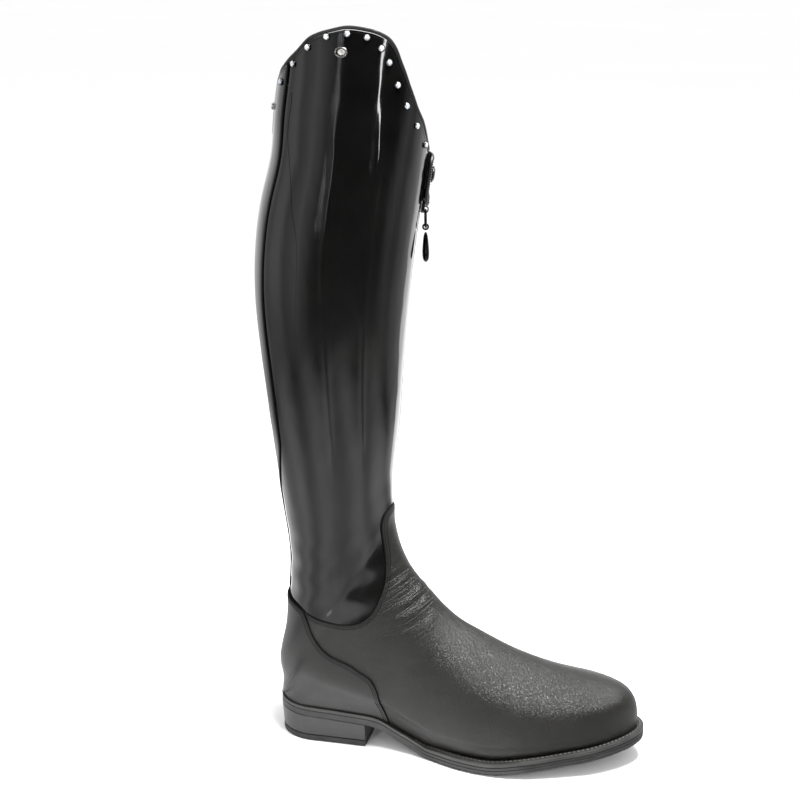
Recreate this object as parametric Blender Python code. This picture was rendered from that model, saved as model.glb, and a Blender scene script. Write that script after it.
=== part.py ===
"""A tall dress riding boot for the right foot, built piece by piece as a bootmaker would.

X runs to the toe, Y to the inner side of the foot and Z up, in metres. The sections below are
laid out from the back end of the heel, and the finished pieces stand with the origin on the
floor under the middle of the heel. "Outer" is the side away from the other boot, at minus Y.
"""
import math
from functools import lru_cache

import bmesh
import bpy
import numpy as np

# Sizes of the sole
SOLE_LENGTH = 0.288
BALL_WIDTH = 0.098
HEEL_WIDTH = 0.058
HEEL_LENGTH = 0.0748
HEEL_HEIGHT = 0.0195
HEEL_TAPER = 0.0010
TOP_PIECE_THICKNESS = 0.0048
SOLE_THICKNESS = 0.0070
EDGE_STEP = 0.0006
WELT_THICKNESS = 0.0030
WELT_WIDTH = 0.0065
WELT_DEPTH = 0.0080
INSOLE_THICKNESS = 0.0030
TOE_SPRING = 0.0165

# Sizes of the upper and the leg
INSTEP_HEIGHT = 0.0950
LEG_HEIGHT = 0.5250
ANKLE_DEPTH = 0.0830
ANKLE_WIDTH = 0.0780
CALF_DEPTH = 0.1180
CALF_WIDTH = 0.1120
UPPER_WALL = 0.0020
SHAFT_WALL = 0.0024
LAP_STEP = 0.0008
OVERLAY = 0.0009
BINDING_HEIGHT = 0.0024
BINDING_LIP = 0.0004

# Sizes of the zip and its puller
ZIP_SLOT = 0.0070
ZIP_RISE = 0.0005
ZIP_TAPE_WIDTH = 0.0220
ZIP_TAPE_THICKNESS = 0.0008
SLIDER_WIDTH = 0.0090
SLIDER_LENGTH = 0.0110
SLIDER_THICKNESS = 0.0022
BRIDGE_WIDTH = 0.0024
BRIDGE_LENGTH = 0.0052
BRIDGE_HEIGHT = 0.0034
LINK_WIRE = 0.0016
LINK_WIDTH = 0.0064
LINK_LENGTH = 0.0140
DROP_LENGTH = 0.0240
DROP_WIDTH = 0.0095
DROP_THICKNESS = 0.0052
NECK_WIDTH = 0.0022
PIVOT_PLAY = 0.0004

# Sizes of the snap tab and the trim
TAB_WIDTH = 0.0360
TAB_HEIGHT = 0.0370
TAB_THICKNESS = 0.0016
TAB_LIFT = 0.0014
SNAP_DIAMETER = 0.0120
SNAP_THICKNESS = 0.0022
STUD_DIAMETER = 0.0050
STUD_HEIGHT = 0.0020
BADGE_WIDTH = 0.0090
BADGE_HEIGHT = 0.0072
BADGE_THICKNESS = 0.0012

# Clearance between pieces that touch
GAP = 0.0003

# Plan of the sole: shares of SOLE_LENGTH and of the width of heel or ball
OUTLINE_COLUMNS = ("along", "heel_part", "centre", "outer", "inner")
OUTLINE_ROWS = (
    (0.00, 1.0, 0.000, 0.500, 0.500),
    (0.20, 1.0, 0.000, 0.500, 0.492),
    (0.34, 0.6, 0.000, 0.412, 0.324),
    (0.43, 0.3, 0.000, 0.432, 0.310),
    (0.51, 0.0, 0.000, 0.474, 0.335),
    (0.59, 0.0, 0.000, 0.526, 0.405),
    (0.67, 0.0, 0.000, 0.535, 0.456),
    (0.75, 0.0, 0.010, 0.500, 0.462),
    (0.83, 0.0, 0.026, 0.437, 0.428),
    (0.91, 0.0, 0.038, 0.374, 0.375),
    (1.00, 0.0, 0.043, 0.296, 0.316),
)
HEEL_ROUND = 0.108
TOE_ROUND = 0.160

# Side view of the sole: shares of HEEL_HEIGHT, TOE_SPRING, SOLE_THICKNESS and WELT_WIDTH
HEIGHT_COLUMNS = ("along", "heel", "toe", "thickness", "margin")
HEIGHT_ROWS = (
    (0.000, 1.20, 0.00, 0.57, 0.40),
    (0.260, 1.00, 0.00, 0.66, 0.40),
    (0.292, 0.92, 0.00, 0.70, 0.42),
    (0.317, 0.78, 0.00, 0.73, 0.45),
    (0.338, 0.60, 0.00, 0.77, 0.48),
    (0.371, 0.38, 0.00, 0.84, 0.52),
    (0.408, 0.15, 0.00, 0.92, 0.60),
    (0.440, 0.00, 0.00, 0.97, 0.70),
    (0.500, 0.00, 0.00, 1.00, 0.88),
    (0.590, 0.00, 0.00, 1.00, 1.00),
    (0.700, 0.00, 0.26, 1.00, 1.00),
    (0.800, 0.00, 0.51, 1.00, 0.92),
    (0.900, 0.00, 0.75, 1.00, 0.82),
    (1.000, 0.00, 1.00, 1.00, 0.75),
)

# Sections of the foot, toe to heel: where each meets the sole and the top line, and its swell
FOOT_COLUMNS = ("low", "top", "rise", "outer", "inner", "wide", "ridge", "side", "crown")
FOOT_ROWS = (
    (1.000, 1.000, 0.055, 0.000, 0.000, 0.40, 0.043, 0.60, 0.62),
    (0.997, 0.997, 0.160, 0.008, 0.008, 0.38, 0.043, 0.60, 0.62),
    (0.988, 0.988, 0.238, 0.011, 0.011, 0.37, 0.043, 0.60, 0.62),
    (0.970, 0.970, 0.308, 0.013, 0.013, 0.36, 0.043, 0.60, 0.62),
    (0.943, 0.943, 0.360, 0.014, 0.014, 0.35, 0.044, 0.60, 0.61),
    (0.901, 0.901, 0.408, 0.015, 0.015, 0.34, 0.046, 0.58, 0.60),
    (0.837, 0.837, 0.468, 0.015, 0.015, 0.33, 0.050, 0.56, 0.58),
    (0.768, 0.768, 0.533, 0.015, 0.015, 0.31, 0.055, 0.54, 0.55),
    (0.687, 0.689, 0.641, 0.012, 0.015, 0.29, 0.056, 0.52, 0.52),
    (0.615, 0.623, 0.760, 0.017, 0.031, 0.27, 0.052, 0.50, 0.50),
    (0.536, 0.553, 0.872, 0.040, 0.066, 0.26, 0.044, 0.50, 0.48),
    (0.455, 0.500, 0.970, 0.070, 0.092, 0.25, 0.034, 0.50, 0.46),
    (0.372, 0.452, 1.035, 0.080, 0.102, 0.25, 0.024, 0.52, 0.45),
    (0.287, 0.410, 1.078, 0.080, 0.086, 0.25, 0.016, 0.55, 0.45),
    (0.204, 0.376, 1.180, 0.075, 0.066, 0.27, 0.010, 0.58, 0.45),
    (0.130, 0.353, 1.295, 0.071, 0.068, 0.29, 0.005, 0.60, 0.46),
    (0.066, 0.339, 1.405, 0.068, 0.067, 0.31, 0.002, 0.61, 0.47),
    (0.022, 0.331, 1.500, 0.067, 0.066, 0.33, 0.000, 0.61, 0.48),
    (0.000, 0.326, 1.590, 0.066, 0.066, 0.35, 0.000, 0.61, 0.49),
)

# Sections of the leg, heel to top. Back and depth are shares of the depth of ankle or calf
LEG_COLUMNS = ("calf_part", "back", "back_up", "depth", "front_up", "half", "wide", "side", "crown")
LEG_ROWS = (
    (0.00, 0.029, 0.022, 1.090, 0.016, 0.426, 0.37, 0.61, 0.50),
    (0.00, 0.011, 0.047, 1.112, 0.031, 0.433, 0.39, 0.61, 0.51),
    (0.00, 0.027, 0.079, 1.084, 0.048, 0.442, 0.41, 0.60, 0.52),
    (0.00, 0.065, 0.117, 1.031, 0.071, 0.455, 0.43, 0.59, 0.53),
    (0.00, 0.082, 0.166, 1.013, 0.100, 0.474, 0.44, 0.58, 0.54),
    (0.00, 0.099, 0.227, 1.010, 0.139, 0.500, 0.45, 0.57, 0.55),
    (0.10, 0.073, 0.290, 1.028, 0.180, 0.510, 0.46, 0.56, 0.55),
    (0.30, 0.039, 0.361, 1.016, 0.234, 0.505, 0.47, 0.56, 0.55),
    (0.50, -0.002, 0.441, 1.011, 0.301, 0.505, 0.47, 0.56, 0.55),
    (0.75, -0.040, 0.532, 0.993, 0.381, 0.502, 0.47, 0.56, 0.55),
    (0.95, -0.066, 0.618, 0.987, 0.467, 0.499, 0.47, 0.56, 0.55),
    (1.00, -0.049, 0.698, 0.998, 0.574, 0.502, 0.47, 0.56, 0.55),
    (1.00, 0.005, 0.765, 0.990, 0.667, 0.500, 0.47, 0.56, 0.55),
    (1.00, 0.073, 0.822, 0.962, 0.747, 0.491, 0.47, 0.56, 0.55),
    (1.00, 0.099, 0.879, 0.972, 0.828, 0.482, 0.47, 0.56, 0.55),
    (1.00, 0.137, 0.936, 0.965, 0.908, 0.473, 0.47, 0.56, 0.55),
    (1.00, 0.161, 1.001, 0.965, 1.000, 0.464, 0.47, 0.56, 0.55),
)
HEEL_SECTION = len(FOOT_ROWS) - 1
LAST_SECTION = len(FOOT_ROWS) + len(LEG_ROWS) - 1

# Seam between foot and leg in the side view: shares of ANKLE_DEPTH and INSTEP_HEIGHT over the seat
SEAM_COLUMNS = ("along", "up")
SEAM_ROWS = (
    (-0.20, 0.985), (0.00, 0.975), (0.217, 0.916), (0.361, 0.874), (0.410, 0.848), (0.592, 0.783),
    (0.767, 0.772), (0.886, 0.803), (0.977, 0.877), (1.047, 0.997), (1.080, 1.086), (1.089, 1.236),
    (1.082, 1.318), (1.060, 1.452), (1.051, 1.567), (1.075, 1.678), (1.125, 1.732), (1.450, 1.760),
)

# Front edge of the counter, in the same shares, from above the seam down past the welt
COUNTER_ROWS = (
    (0.300, 1.100), (0.369, 0.850), (0.396, 0.783), (0.430, 0.684), (0.501, 0.572), (0.566, 0.514),
    (0.680, 0.464), (0.808, 0.418), (0.893, 0.372), (0.975, 0.331), (1.042, 0.240), (1.076, 0.132),
    (1.118, 0.012), (1.150, -0.150),
)

# Top edge of the leg round the boot: place from the back over the outer side, share of LEG_HEIGHT
COLLAR_COLUMNS = ("place", "up")
COLLAR_ROWS = (
    (0.000, 0.855), (0.036, 0.857), (0.047, 0.868), (0.056, 0.925), (0.102, 0.945), (0.149, 0.963),
    (0.189, 0.982), (0.234, 0.991), (0.268, 0.995), (0.307, 0.991), (0.342, 0.981), (0.361, 0.967),
    (0.375, 0.949), (0.386, 0.936), (0.400, 0.919), (0.415, 0.903), (0.431, 0.887), (0.458, 0.867),
    (0.477, 0.851), (0.500, 0.835), (0.530, 0.826), (0.600, 0.828), (0.750, 0.834), (0.900, 0.846),
    (1.000, 0.855),
)

# Studs under the top edge, back to front
STUD_ROWS = (
    (0.058, 0.885), (0.104, 0.920), (0.143, 0.945), (0.185, 0.967), (0.228, 0.981), (0.268, 0.985),
    (0.303, 0.980), (0.330, 0.966), (0.347, 0.948), (0.369, 0.919), (0.396, 0.891), (0.431, 0.863),
    (0.473, 0.835),
)
BADGE_PLACE = 0.259
BADGE_UP = 0.962

# Panel over the back seam: its half width in places round the leg, by share of LEG_HEIGHT
STRIP_COLUMNS = ("up", "half")
STRIP_ROWS = (
    (0.090, 0.034), (0.200, 0.034), (0.270, 0.034), (0.320, 0.046), (0.375, 0.095), (0.420, 0.122),
    (0.500, 0.126), (0.900, 0.126), (1.050, 0.126),
)

# Where the zip and the snap tab lie round the leg and up it
ZIP_PLACE = 12 / 22
ZIP_FOOT_UP = 0.318
ZIP_HEAD_UP = 0.800
SLIDER_UP = 0.7455
TAB_UP = 0.7820
TAB_SHIFT = 0.0060
SNAP_UP = 0.7906
SNAP_SHIFT = -0.0050

# Fineness of the pieces
HALVES_FROM = 9
HALVES_TO = 20
SEAM_FROM = 12
TOP_FROM = 31
PLACE_COUNT = 22
STEP_PLACE = 0.056


def column(columns, rows, name):
    return np.array([row[columns.index(name)] for row in rows], float)


def bent(knots, values, at, slopes=None):
    """Cubic spline through the knots, with free ends or with the end slopes given."""
    knots, values, at = (np.asarray(item, float) for item in (knots, values, at))
    count = len(knots)
    step = np.diff(knots)
    matrix = np.eye(count)
    right = np.zeros(values.shape)
    for i in range(1, count - 1):
        matrix[i, i - 1:i + 2] = step[i - 1], 2 * (step[i - 1] + step[i]), step[i]
        rise_after = (values[i + 1] - values[i]) / step[i]
        rise_before = (values[i] - values[i - 1]) / step[i - 1]
        right[i] = 6 * (rise_after - rise_before)
    if slopes is not None:
        matrix[0, :2] = 2 * step[0], step[0]
        matrix[-1, -2:] = step[-1], 2 * step[-1]
        right[0] = 6 * ((values[1] - values[0]) / step[0] - slopes[0])
        right[-1] = 6 * (slopes[1] - (values[-1] - values[-2]) / step[-1])
    bend = np.linalg.solve(matrix, right)
    k = np.clip(np.searchsorted(knots, at, side="right") - 1, 0, count - 2)
    spread = (-1,) + (1,) * (values.ndim - 1)
    h = step[k].reshape(spread)
    low = (at - knots[k]).reshape(spread)
    high = h - low
    curve = (bend[k] * high ** 3 + bend[k + 1] * low ** 3) / (6 * h)
    return curve + (values[k] / h - bend[k] * h / 6) * high + (values[k + 1] / h - bend[k + 1] * h / 6) * low


def steady(knots, values, at):
    """Cubic curve through the knots that stays between neighbouring values."""
    knots, values, at = (np.asarray(item, float) for item in (knots, values, at))
    step = np.diff(knots)
    slope = np.diff(values) / step
    product = slope[:-1] * slope[1:]
    inner = np.where(product > 0, 2 * product / (slope[:-1] + slope[1:] + 1e-30), 0.0)
    ends = np.concatenate([slope[:1], inner, slope[-1:]])
    k = np.clip(np.searchsorted(knots, at, side="right") - 1, 0, len(knots) - 2)
    h = step[k]
    t = (at - knots[k]) / h
    line = values[k] * (1 + 2 * t) * (1 - t) ** 2 + values[k + 1] * t * t * (3 - 2 * t)
    return line + h * t * (1 - t) * (ends[k] * (1 - t) - ends[k + 1] * t)


def height_column(name, x):
    along = column(HEIGHT_COLUMNS, HEIGHT_ROWS, "along")
    share = np.clip(np.asarray(x, float) / SOLE_LENGTH, 0, 1)
    return steady(along, column(HEIGHT_COLUMNS, HEIGHT_ROWS, name), share)


def sole_bottom(x):
    return HEEL_HEIGHT * height_column("heel", x) + TOE_SPRING * height_column("toe", x)


def sole_top(x):
    return sole_bottom(x) + SOLE_THICKNESS * height_column("thickness", x)


def feather_height(x):
    return sole_top(x) + WELT_THICKNESS + 2 * GAP


def outline(sign, inset=0.0, heel_round=True, count=121):
    """One side of the sole in plan, heel to toe, moved in by a share of the welt's width."""
    share = (1 - np.cos(np.linspace(0, math.pi, count))) / 2
    along = column(OUTLINE_COLUMNS, OUTLINE_ROWS, "along")
    names = ("heel_part", "centre", "outer" if sign < 0 else "inner")
    part, centre, half = (bent(along, column(OUTLINE_COLUMNS, OUTLINE_ROWS, n), share) for n in names)
    toe = np.clip((share - 1 + TOE_ROUND) / TOE_ROUND, 0, 1)
    heel = np.clip((HEEL_ROUND - share) / HEEL_ROUND, 0, 1) if heel_round else 0
    end = np.sqrt(1 - toe ** 2) * np.sqrt(1 - heel ** 2)
    width = HEEL_WIDTH * part + BALL_WIDTH * (1 - part)
    line = np.stack([share * SOLE_LENGTH, centre * BALL_WIDTH + sign * half * width * end], 1)
    along_x, along_y = np.gradient(line, axis=0).T
    along_x[[0, -1]] = 0 if heel_round else (1, 0)
    length = np.hypot(along_x, along_y)
    normal = np.stack([along_y, -along_x], 1) * sign / length[:, None]
    return line + normal * np.reshape(inset, (-1, 1)) * np.ones((count, 1))




@lru_cache(maxsize=None)
def feather_line(sign, heel_round=True):
    """Plan of the edge where the upper meets the welt, heel end to toe end."""
    line = outline(sign, 0.0, heel_round)
    return outline(sign, WELT_WIDTH * height_column("margin", line[:, 0]), heel_round)


@lru_cache(maxsize=None)
def row_values():
    """Every section row in metres: lower and upper end, swell, widest place and fullness."""
    low, top, rise, outer, inner, wide, ridge, side, crown = (
        column(FOOT_COLUMNS, FOOT_ROWS, name) for name in FOOT_COLUMNS)
    line = feather_line(-1)
    heel_end, toe_end = line[0, 0], line[-1, 0]
    low_x = heel_end + low * (toe_end - heel_end)
    top_x = heel_end + top * (toe_end - heel_end)
    ground = feather_height(low_x)
    foot = np.stack([low_x, ground, top_x, ground + rise * INSTEP_HEIGHT,
                     outer * BALL_WIDTH, inner * BALL_WIDTH, wide, ridge * BALL_WIDTH, side, crown], 1)
    calf, back, back_up, depth, front_up, half, wide, side, crown = (
        column(LEG_COLUMNS, LEG_ROWS, name) for name in LEG_COLUMNS)
    seat = feather_height(0.0)
    bend = foot[-1, 3]
    reach = abs(feather_line(-1, False)[0, 1])
    swell = half * (CALF_WIDTH * calf + ANKLE_WIDTH * (1 - calf)) - reach
    back_x = back * CALF_DEPTH
    front_x = back_x + depth * (CALF_DEPTH * calf + ANKLE_DEPTH * (1 - calf))
    leg = np.stack([back_x, seat + back_up * LEG_HEIGHT, front_x,
                    bend + front_up * (seat + LEG_HEIGHT - bend),
                    swell, swell, wide, 0 * half, side, crown], 1)
    return np.vstack([foot, leg])


def quarter(start, leave, arrive, end, t):
    """Points of a Bezier curve."""
    t = t[:, None]
    return start * (1 - t) ** 3 + 3 * leave * t * (1 - t) ** 2 + 3 * arrive * t * t * (1 - t) + end * t ** 3


def section(row, on_sole, at):
    """One section: width and share of its height at each place in `at`, 0 outer edge to 1 inner edge."""
    low_x, low_z, _, _, outer, inner, wide, ridge, side, crown = row
    halves = []
    for sign, swell in ((-1, outer), (1, inner)):
        closed = feather_line(sign)
        full = feather_line(sign, False)
        x = low_x if on_sole else closed[0, 0]
        edge = np.interp(x, closed[:, 0], closed[:, 1])
        reach = np.interp(x, full[:, 0], full[:, 1])
        open_part = edge / reach
        turn = math.radians(78) * open_part ** 2 * (3 - 2 * open_part)
        widest = reach + sign * swell
        spread = abs(widest - ridge)
        bottom = np.array([edge, 0.0])
        belly = np.array([widest, wide])
        top = np.array([ridge, 1.0])
        leave = bottom + np.array([sign * math.cos(turn) * 0.56 * spread, math.sin(turn) * 0.5 * wide])
        reach_in = belly - np.array([0.0, 0.56 * wide])
        up = belly + np.array([0.0, side * (1 - wide)])
        over = top + np.array([(widest - ridge) * crown, 0.0])
        halves.append((bottom, leave, reach_in, belly, up, over, top))
    t = np.linspace(0, 1, 4)
    (a0, a1, a2, a3, a4, a5, a6), (b0, b1, b2, b3, b4, b5, b6) = halves
    shape = np.vstack([quarter(a0, a1, a2, a3, t)[:-1], quarter(a3, a4, a5, a6, t)[:-1],
                       quarter(b6, b5, b4, b3, t)[:-1], quarter(b3, b2, b1, b0, t)])
    knots = np.linspace(0, 1, len(shape))
    slopes = (12 * (a1 - a0), 12 * (b0 - b1))
    return bent(knots, shape, at, slopes)


def skin(stations, places):
    """Outer surface: for each station (row number) the points at the given places around it."""
    rows = row_values()
    knots = np.arange(len(rows), dtype=float)
    result = []
    for station in stations:
        row = bent(knots, rows, [station])[0]
        if station <= HEEL_SECTION:
            row[0] = max(row[0], rows[HEEL_SECTION, 0])
            row[1] = feather_height(row[0])
        flat = section(row, station <= HEEL_SECTION, places)
        low, high = row[:2], row[2:4]
        result.append(np.stack([low[0] + (high[0] - low[0]) * flat[:, 1], flat[:, 0],
                                low[1] + (high[1] - low[1]) * flat[:, 1]], 1))
    return np.array(result)


def add_solid(name, points, faces, material, pivot=(0.0, 0.0, 0.0)):
    """One closed piece from points laid out from the heel's end, with its origin at the pivot."""
    shift = np.array([HEEL_LENGTH / 2, 0.0, 0.0])
    mesh = bpy.data.meshes.new(name)
    mesh.from_pydata((np.asarray(points) - np.asarray(pivot)).tolist(), [], faces)
    mesh.validate()
    mesh.shade_smooth()
    mesh.set_sharp_from_angle(angle=math.radians(38))
    mesh.materials.append(material)
    piece = bpy.data.objects.new(name, mesh)
    piece.location = np.asarray(pivot) - shift
    bpy.context.scene.collection.objects.link(piece)
    return piece


def finish(name, colour, roughness, metallic=0.0):
    """Plain surface of one piece."""
    material = bpy.data.materials.new(name)
    material.use_nodes = True
    shader = material.node_tree.nodes["Principled BSDF"]
    shader.inputs["Base Color"].default_value = (*colour, 1.0)
    shader.inputs["Roughness"].default_value = roughness
    shader.inputs["Metallic"].default_value = metallic
    return material


def welded(points, faces):
    """Joins points that lie on each other and drops the faces that close up."""
    keys = {}
    first = []
    kept = []
    for index, point in enumerate(np.round(points, 7)):
        key = tuple(point)
        if key not in keys:
            keys[key] = len(kept)
            kept.append(index)
        first.append(keys[key])
    joined = []
    for face in faces:
        ring = [first[index] for index in face]
        ring = [corner for k, corner in enumerate(ring) if corner != ring[k - 1]]
        if len(ring) > 2:
            joined.append(tuple(ring))
    return np.asarray(points)[kept], joined, np.array(first), np.array(kept)


def plank(levels):
    """Solid through closed outlines. Each level is its outer and its inner line, heel to toe."""
    count = len(levels[0][0])
    points = np.vstack([line for level in levels for line in level])
    faces = []
    for k in range(len(levels) - 1):
        low = 2 * count * k
        high = low + 2 * count
        for i in range(count - 1):
            faces.append((low + i, low + i + 1, high + i + 1, high + i))
            faces.append((low + count + i, high + count + i, high + count + i + 1, low + count + i + 1))
        last = count - 1
        faces.append((low, high, high + count, low + count))
        faces.append((low + last, low + count + last, high + count + last, high + last))
    top = 2 * count * (len(levels) - 1)
    for i in range(count - 1):
        faces.append((i, count + i, count + i + 1, i + 1))
        faces.append((top + i, top + i + 1, top + count + i + 1, top + count + i))
    return welded(points, faces)[:2]


@lru_cache(maxsize=None)
def sole_shares():
    """Stations along the sole, heel to toe, at the lower ends of the upper's sections."""
    low = column(FOOT_COLUMNS, FOOT_ROWS, "low")
    stations = foot_stations()
    return np.flip(bent(np.arange(len(low)), low, stations[stations <= HEEL_SECTION]))


def sole_lines(inset, height, end=None):
    """Outer and inner line of one level. The inset grows with the welt's margin where it is a pair."""
    margin_share, fixed = inset
    level = []
    for sign in (-1, 1):
        plain = outline(sign)
        depth = margin_share * WELT_WIDTH * height_column("margin", plain[:, 0]) + fixed
        line = outline(sign, depth)
        share = sole_shares()
        x = feather_line(-1)[0, 0] * (1 - share) + feather_line(-1)[-1, 0] * share
        if end is not None:
            x = np.append(x[x < 0.95 * end], end)
            share = share[:len(x)]
        x = x + (line[0, 0] - x[0]) * (1 - share) ** 8 + (line[-1, 0] - feather_line(-1)[-1, 0]) * share ** 8
        y = np.interp(x, line[:, 0], line[:, 1])
        level.append(np.stack([x, y, height(x) + 0 * x], 1))
    return level


def ring_solid(loops):
    """Solid ring through closed loops of equal count, listed round its section, outside first."""
    count = len(loops[0])
    points = np.vstack(loops)
    faces = []
    for k in range(len(loops)):
        this = k * count
        after = (k + 1) % len(loops) * count
        for i in range(count):
            j = (i + 1) % count
            faces.append((this + i, this + j, after + j, after + i))
    return points, faces


def closed_loop(level):
    """The two lines of a level as one loop, anticlockwise from above, with no point twice."""
    outer, inner = level
    return np.vstack([outer, inner[-2:0:-1]])


def make_outsole(material):
    def share_up(part):
        return lambda x: sole_bottom(x) + part * (sole_top(x) - sole_bottom(x))
    steps = ((0.0, 2 * EDGE_STEP), (0.14, 0.0), (0.56, 0.0), (0.60, EDGE_STEP), (0.70, EDGE_STEP),
             (0.74, 0.0), (1.0, 0.0))
    points, faces = plank([sole_lines((0.0, inset), share_up(part)) for part, inset in steps])
    return add_solid("outsole", points, faces, material)


def make_welt(material):
    def over(rise):
        return lambda x: sole_top(x) + GAP + rise
    edge = 0.0
    loops = [sole_lines((0.0, edge), over(0.0)),
             sole_lines((0.0, edge), over(WELT_THICKNESS - EDGE_STEP)),
             sole_lines((0.0, edge + EDGE_STEP), over(WELT_THICKNESS)),
             sole_lines((1.0, WELT_DEPTH), over(WELT_THICKNESS)),
             sole_lines((1.0, WELT_DEPTH), over(0.0))]
    points, faces = ring_solid([closed_loop(level) for level in loops])
    return add_solid("welt", points, faces, material)


def make_insole(material):
    def over(rise):
        return lambda x: feather_height(x) + rise
    narrow = (1.0, UPPER_WALL + 3 * GAP)
    levels = [sole_lines((1.0, WELT_DEPTH + GAP), lambda x: sole_top(x) + GAP),
              sole_lines((1.0, WELT_DEPTH + GAP), over(0.0)),
              sole_lines(narrow, over(0.0)),
              sole_lines(narrow, over(INSOLE_THICKNESS))]
    points, faces = plank(levels)
    return add_solid("insole", points, faces, material)


def make_heel(material, tip_material):
    heel_base = TOP_PIECE_THICKNESS + GAP
    block = [sole_lines((0.0, HEEL_TAPER), lambda x: heel_base, HEEL_LENGTH),
             sole_lines((0.0, 0.0), lambda x: sole_bottom(x) - GAP, HEEL_LENGTH)]
    tip = [sole_lines((0.0, HEEL_TAPER), lambda x: 0.0, HEEL_LENGTH),
           sole_lines((0.0, HEEL_TAPER), lambda x: TOP_PIECE_THICKNESS, HEEL_LENGTH)]
    points, faces = plank(block)
    add_solid("heel_block", points, faces, material)
    points, faces = plank(tip)
    add_solid("top_piece", points, faces, tip_material)


def places():
    """Even places round the boot, with one more at the steep part of the top edge on each side."""
    even = np.linspace(0, 1, PLACE_COUNT + 1)
    return np.unique(np.concatenate([even, [STEP_PLACE, 1 - STEP_PLACE]]))


def sheet(stations, around_places):
    """The outer skin as a sheet: its faces and a table of its points.

    The table holds each point, its outward normal, its place round the boot and its distance
    from the zip's line along the surface.
    """
    grid = skin(stations, around_places)
    length = np.linalg.norm(np.diff(grid, axis=1), axis=2)
    travelled = np.concatenate([np.zeros((len(grid), 1)), np.cumsum(length, axis=1)], 1)
    zip_column = int(np.argmin(np.abs(around_places - ZIP_PLACE)))
    travelled -= travelled[:, zip_column:zip_column + 1]
    rows, columns = grid.shape[:2]
    faces = []
    for i in range(rows - 1):
        for j in range(columns - 1):
            start = i * columns + j
            if (around_places[j] < 0.5) != (i == 0):
                faces.append((start, start + 1, start + columns + 1))
                faces.append((start, start + columns + 1, start + columns))
            else:
                faces.append((start, start + 1, start + columns))
                faces.append((start + 1, start + columns + 1, start + columns))
    points, joined, number, _ = welded(grid.reshape(-1, 3), faces)
    normals = np.zeros(points.shape)
    for face in joined:
        corners = points[list(face)]
        normals[list(face)] += np.cross(corners[2] - corners[0], corners[-1] - corners[1])
    on_welt = np.abs(points[:, 2] - feather_height(points[:, 0])) < GAP / 10
    normals[on_welt, 2] = 0
    normals /= np.linalg.norm(normals, axis=1)[:, None]
    place = np.tile(around_places, rows)
    table = np.column_stack([points[number], normals[number], place, travelled.reshape(-1)])
    return table, faces


def clip(piece, field):
    """The part of a sheet where the field is positive, cut along its zero line."""
    table, faces = piece
    value = field(table)
    rows = [table[index] for index in range(len(table))]
    crossings = {}

    def crossing(a, b):
        key = (min(a, b), max(a, b))
        if key not in crossings:
            first, last = table[key[0]], table[key[1]]
            near, far = 0.0, 1.0
            for _ in range(12):
                share = (near + far) / 2
                here = field((first * (1 - share) + last * share)[None, :])[0]
                near, far = (share, far) if (here > 0) == (value[key[0]] > 0) else (near, share)
            share = min(max((near + far) / 2, 0.01), 0.99)
            crossings[key] = len(rows)
            rows.append(first * (1 - share) + last * share)
        return crossings[key]

    kept = []
    for face in faces:
        ring = []
        for k, corner in enumerate(face):
            before = face[k - 1]
            if (value[before] > 0) != (value[corner] > 0):
                ring.append(crossing(before, corner))
            if value[corner] > 0:
                ring.append(corner)
        if len(ring) > 2:
            kept.append(tuple(ring))
    used = sorted({corner for face in kept for corner in face})
    number = {old: new for new, old in enumerate(used)}
    return np.array(rows)[used], [tuple(number[corner] for corner in face) for face in kept]


def shell(piece, outward, inward):
    """Closed wall: the sheet moved out and in along its normals and joined round its edges."""
    points, faces, _, kept = welded(piece[0][:, :3], piece[1])
    normals = piece[0][kept, 3:6]
    count = len(points)
    outward, inward = (np.broadcast_to(offset, len(piece[0]))[kept, None] for offset in (outward, inward))
    outside = points + normals * outward
    inside = points - normals * inward
    walls = list(faces) + [tuple(corner + count for corner in reversed(face)) for face in faces]
    edges = {(face[k - 1], face[k]) for face in faces for k in range(len(face))}
    for a, b in edges:
        if (b, a) not in edges:
            walls.append((b, a, a + count, b + count))
    return np.vstack([outside, inside]), walls


def side_curve(rows):
    """A seam drawn in the side view, as close points of a smooth curve."""
    knots = np.array(rows) * (ANKLE_DEPTH, INSTEP_HEIGHT) + (0.0, feather_height(0.0))
    travelled = np.concatenate([[0], np.cumsum(np.linalg.norm(np.diff(knots, axis=0), axis=1))])
    return bent(travelled, knots, np.linspace(0, travelled[-1], 4 * len(rows)))


def line_field(curve, flat):
    """Distance of each point from a line in a flat view, positive on the left of its run."""
    start, run = curve[:-1], np.diff(curve, axis=0)

    def field(table):
        offset = flat(table)[:, None, :] - start
        share = np.clip((offset * run).sum(2) / (run * run).sum(1), 0, 1)
        gap = offset - share[:, :, None] * run
        distance = np.linalg.norm(gap, axis=2)
        nearest = distance.argmin(1)
        pick = np.arange(len(table))
        cross = run[nearest, 0] * gap[pick, nearest, 1] - run[nearest, 1] * gap[pick, nearest, 0]
        return distance[pick, nearest] * np.sign(cross)
    return field


def side_field(rows):
    """Distance from a seam in the side view, positive on the left of its run."""
    return line_field(side_curve(rows), lambda table: table[:, [0, 2]])


def up_to(share):
    return feather_height(0.0) + share * LEG_HEIGHT


def collar_height(place):
    return up_to(steady(column(COLLAR_COLUMNS, COLLAR_ROWS, "place"),
                        column(COLLAR_COLUMNS, COLLAR_ROWS, "up"), np.clip(place, 0, 1)))


def collar_field():
    """Distance below the top edge, measured on the leg laid out flat."""
    girth = 3 * CALF_WIDTH
    place = np.linspace(-0.1, 1.1, 241)
    curve = np.stack([place * girth, collar_height(place % 1.0)], 1)
    above = line_field(curve, lambda table: table[:, [6, 2]] * (girth, 1.0))
    return lambda table: -above(table)


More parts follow.
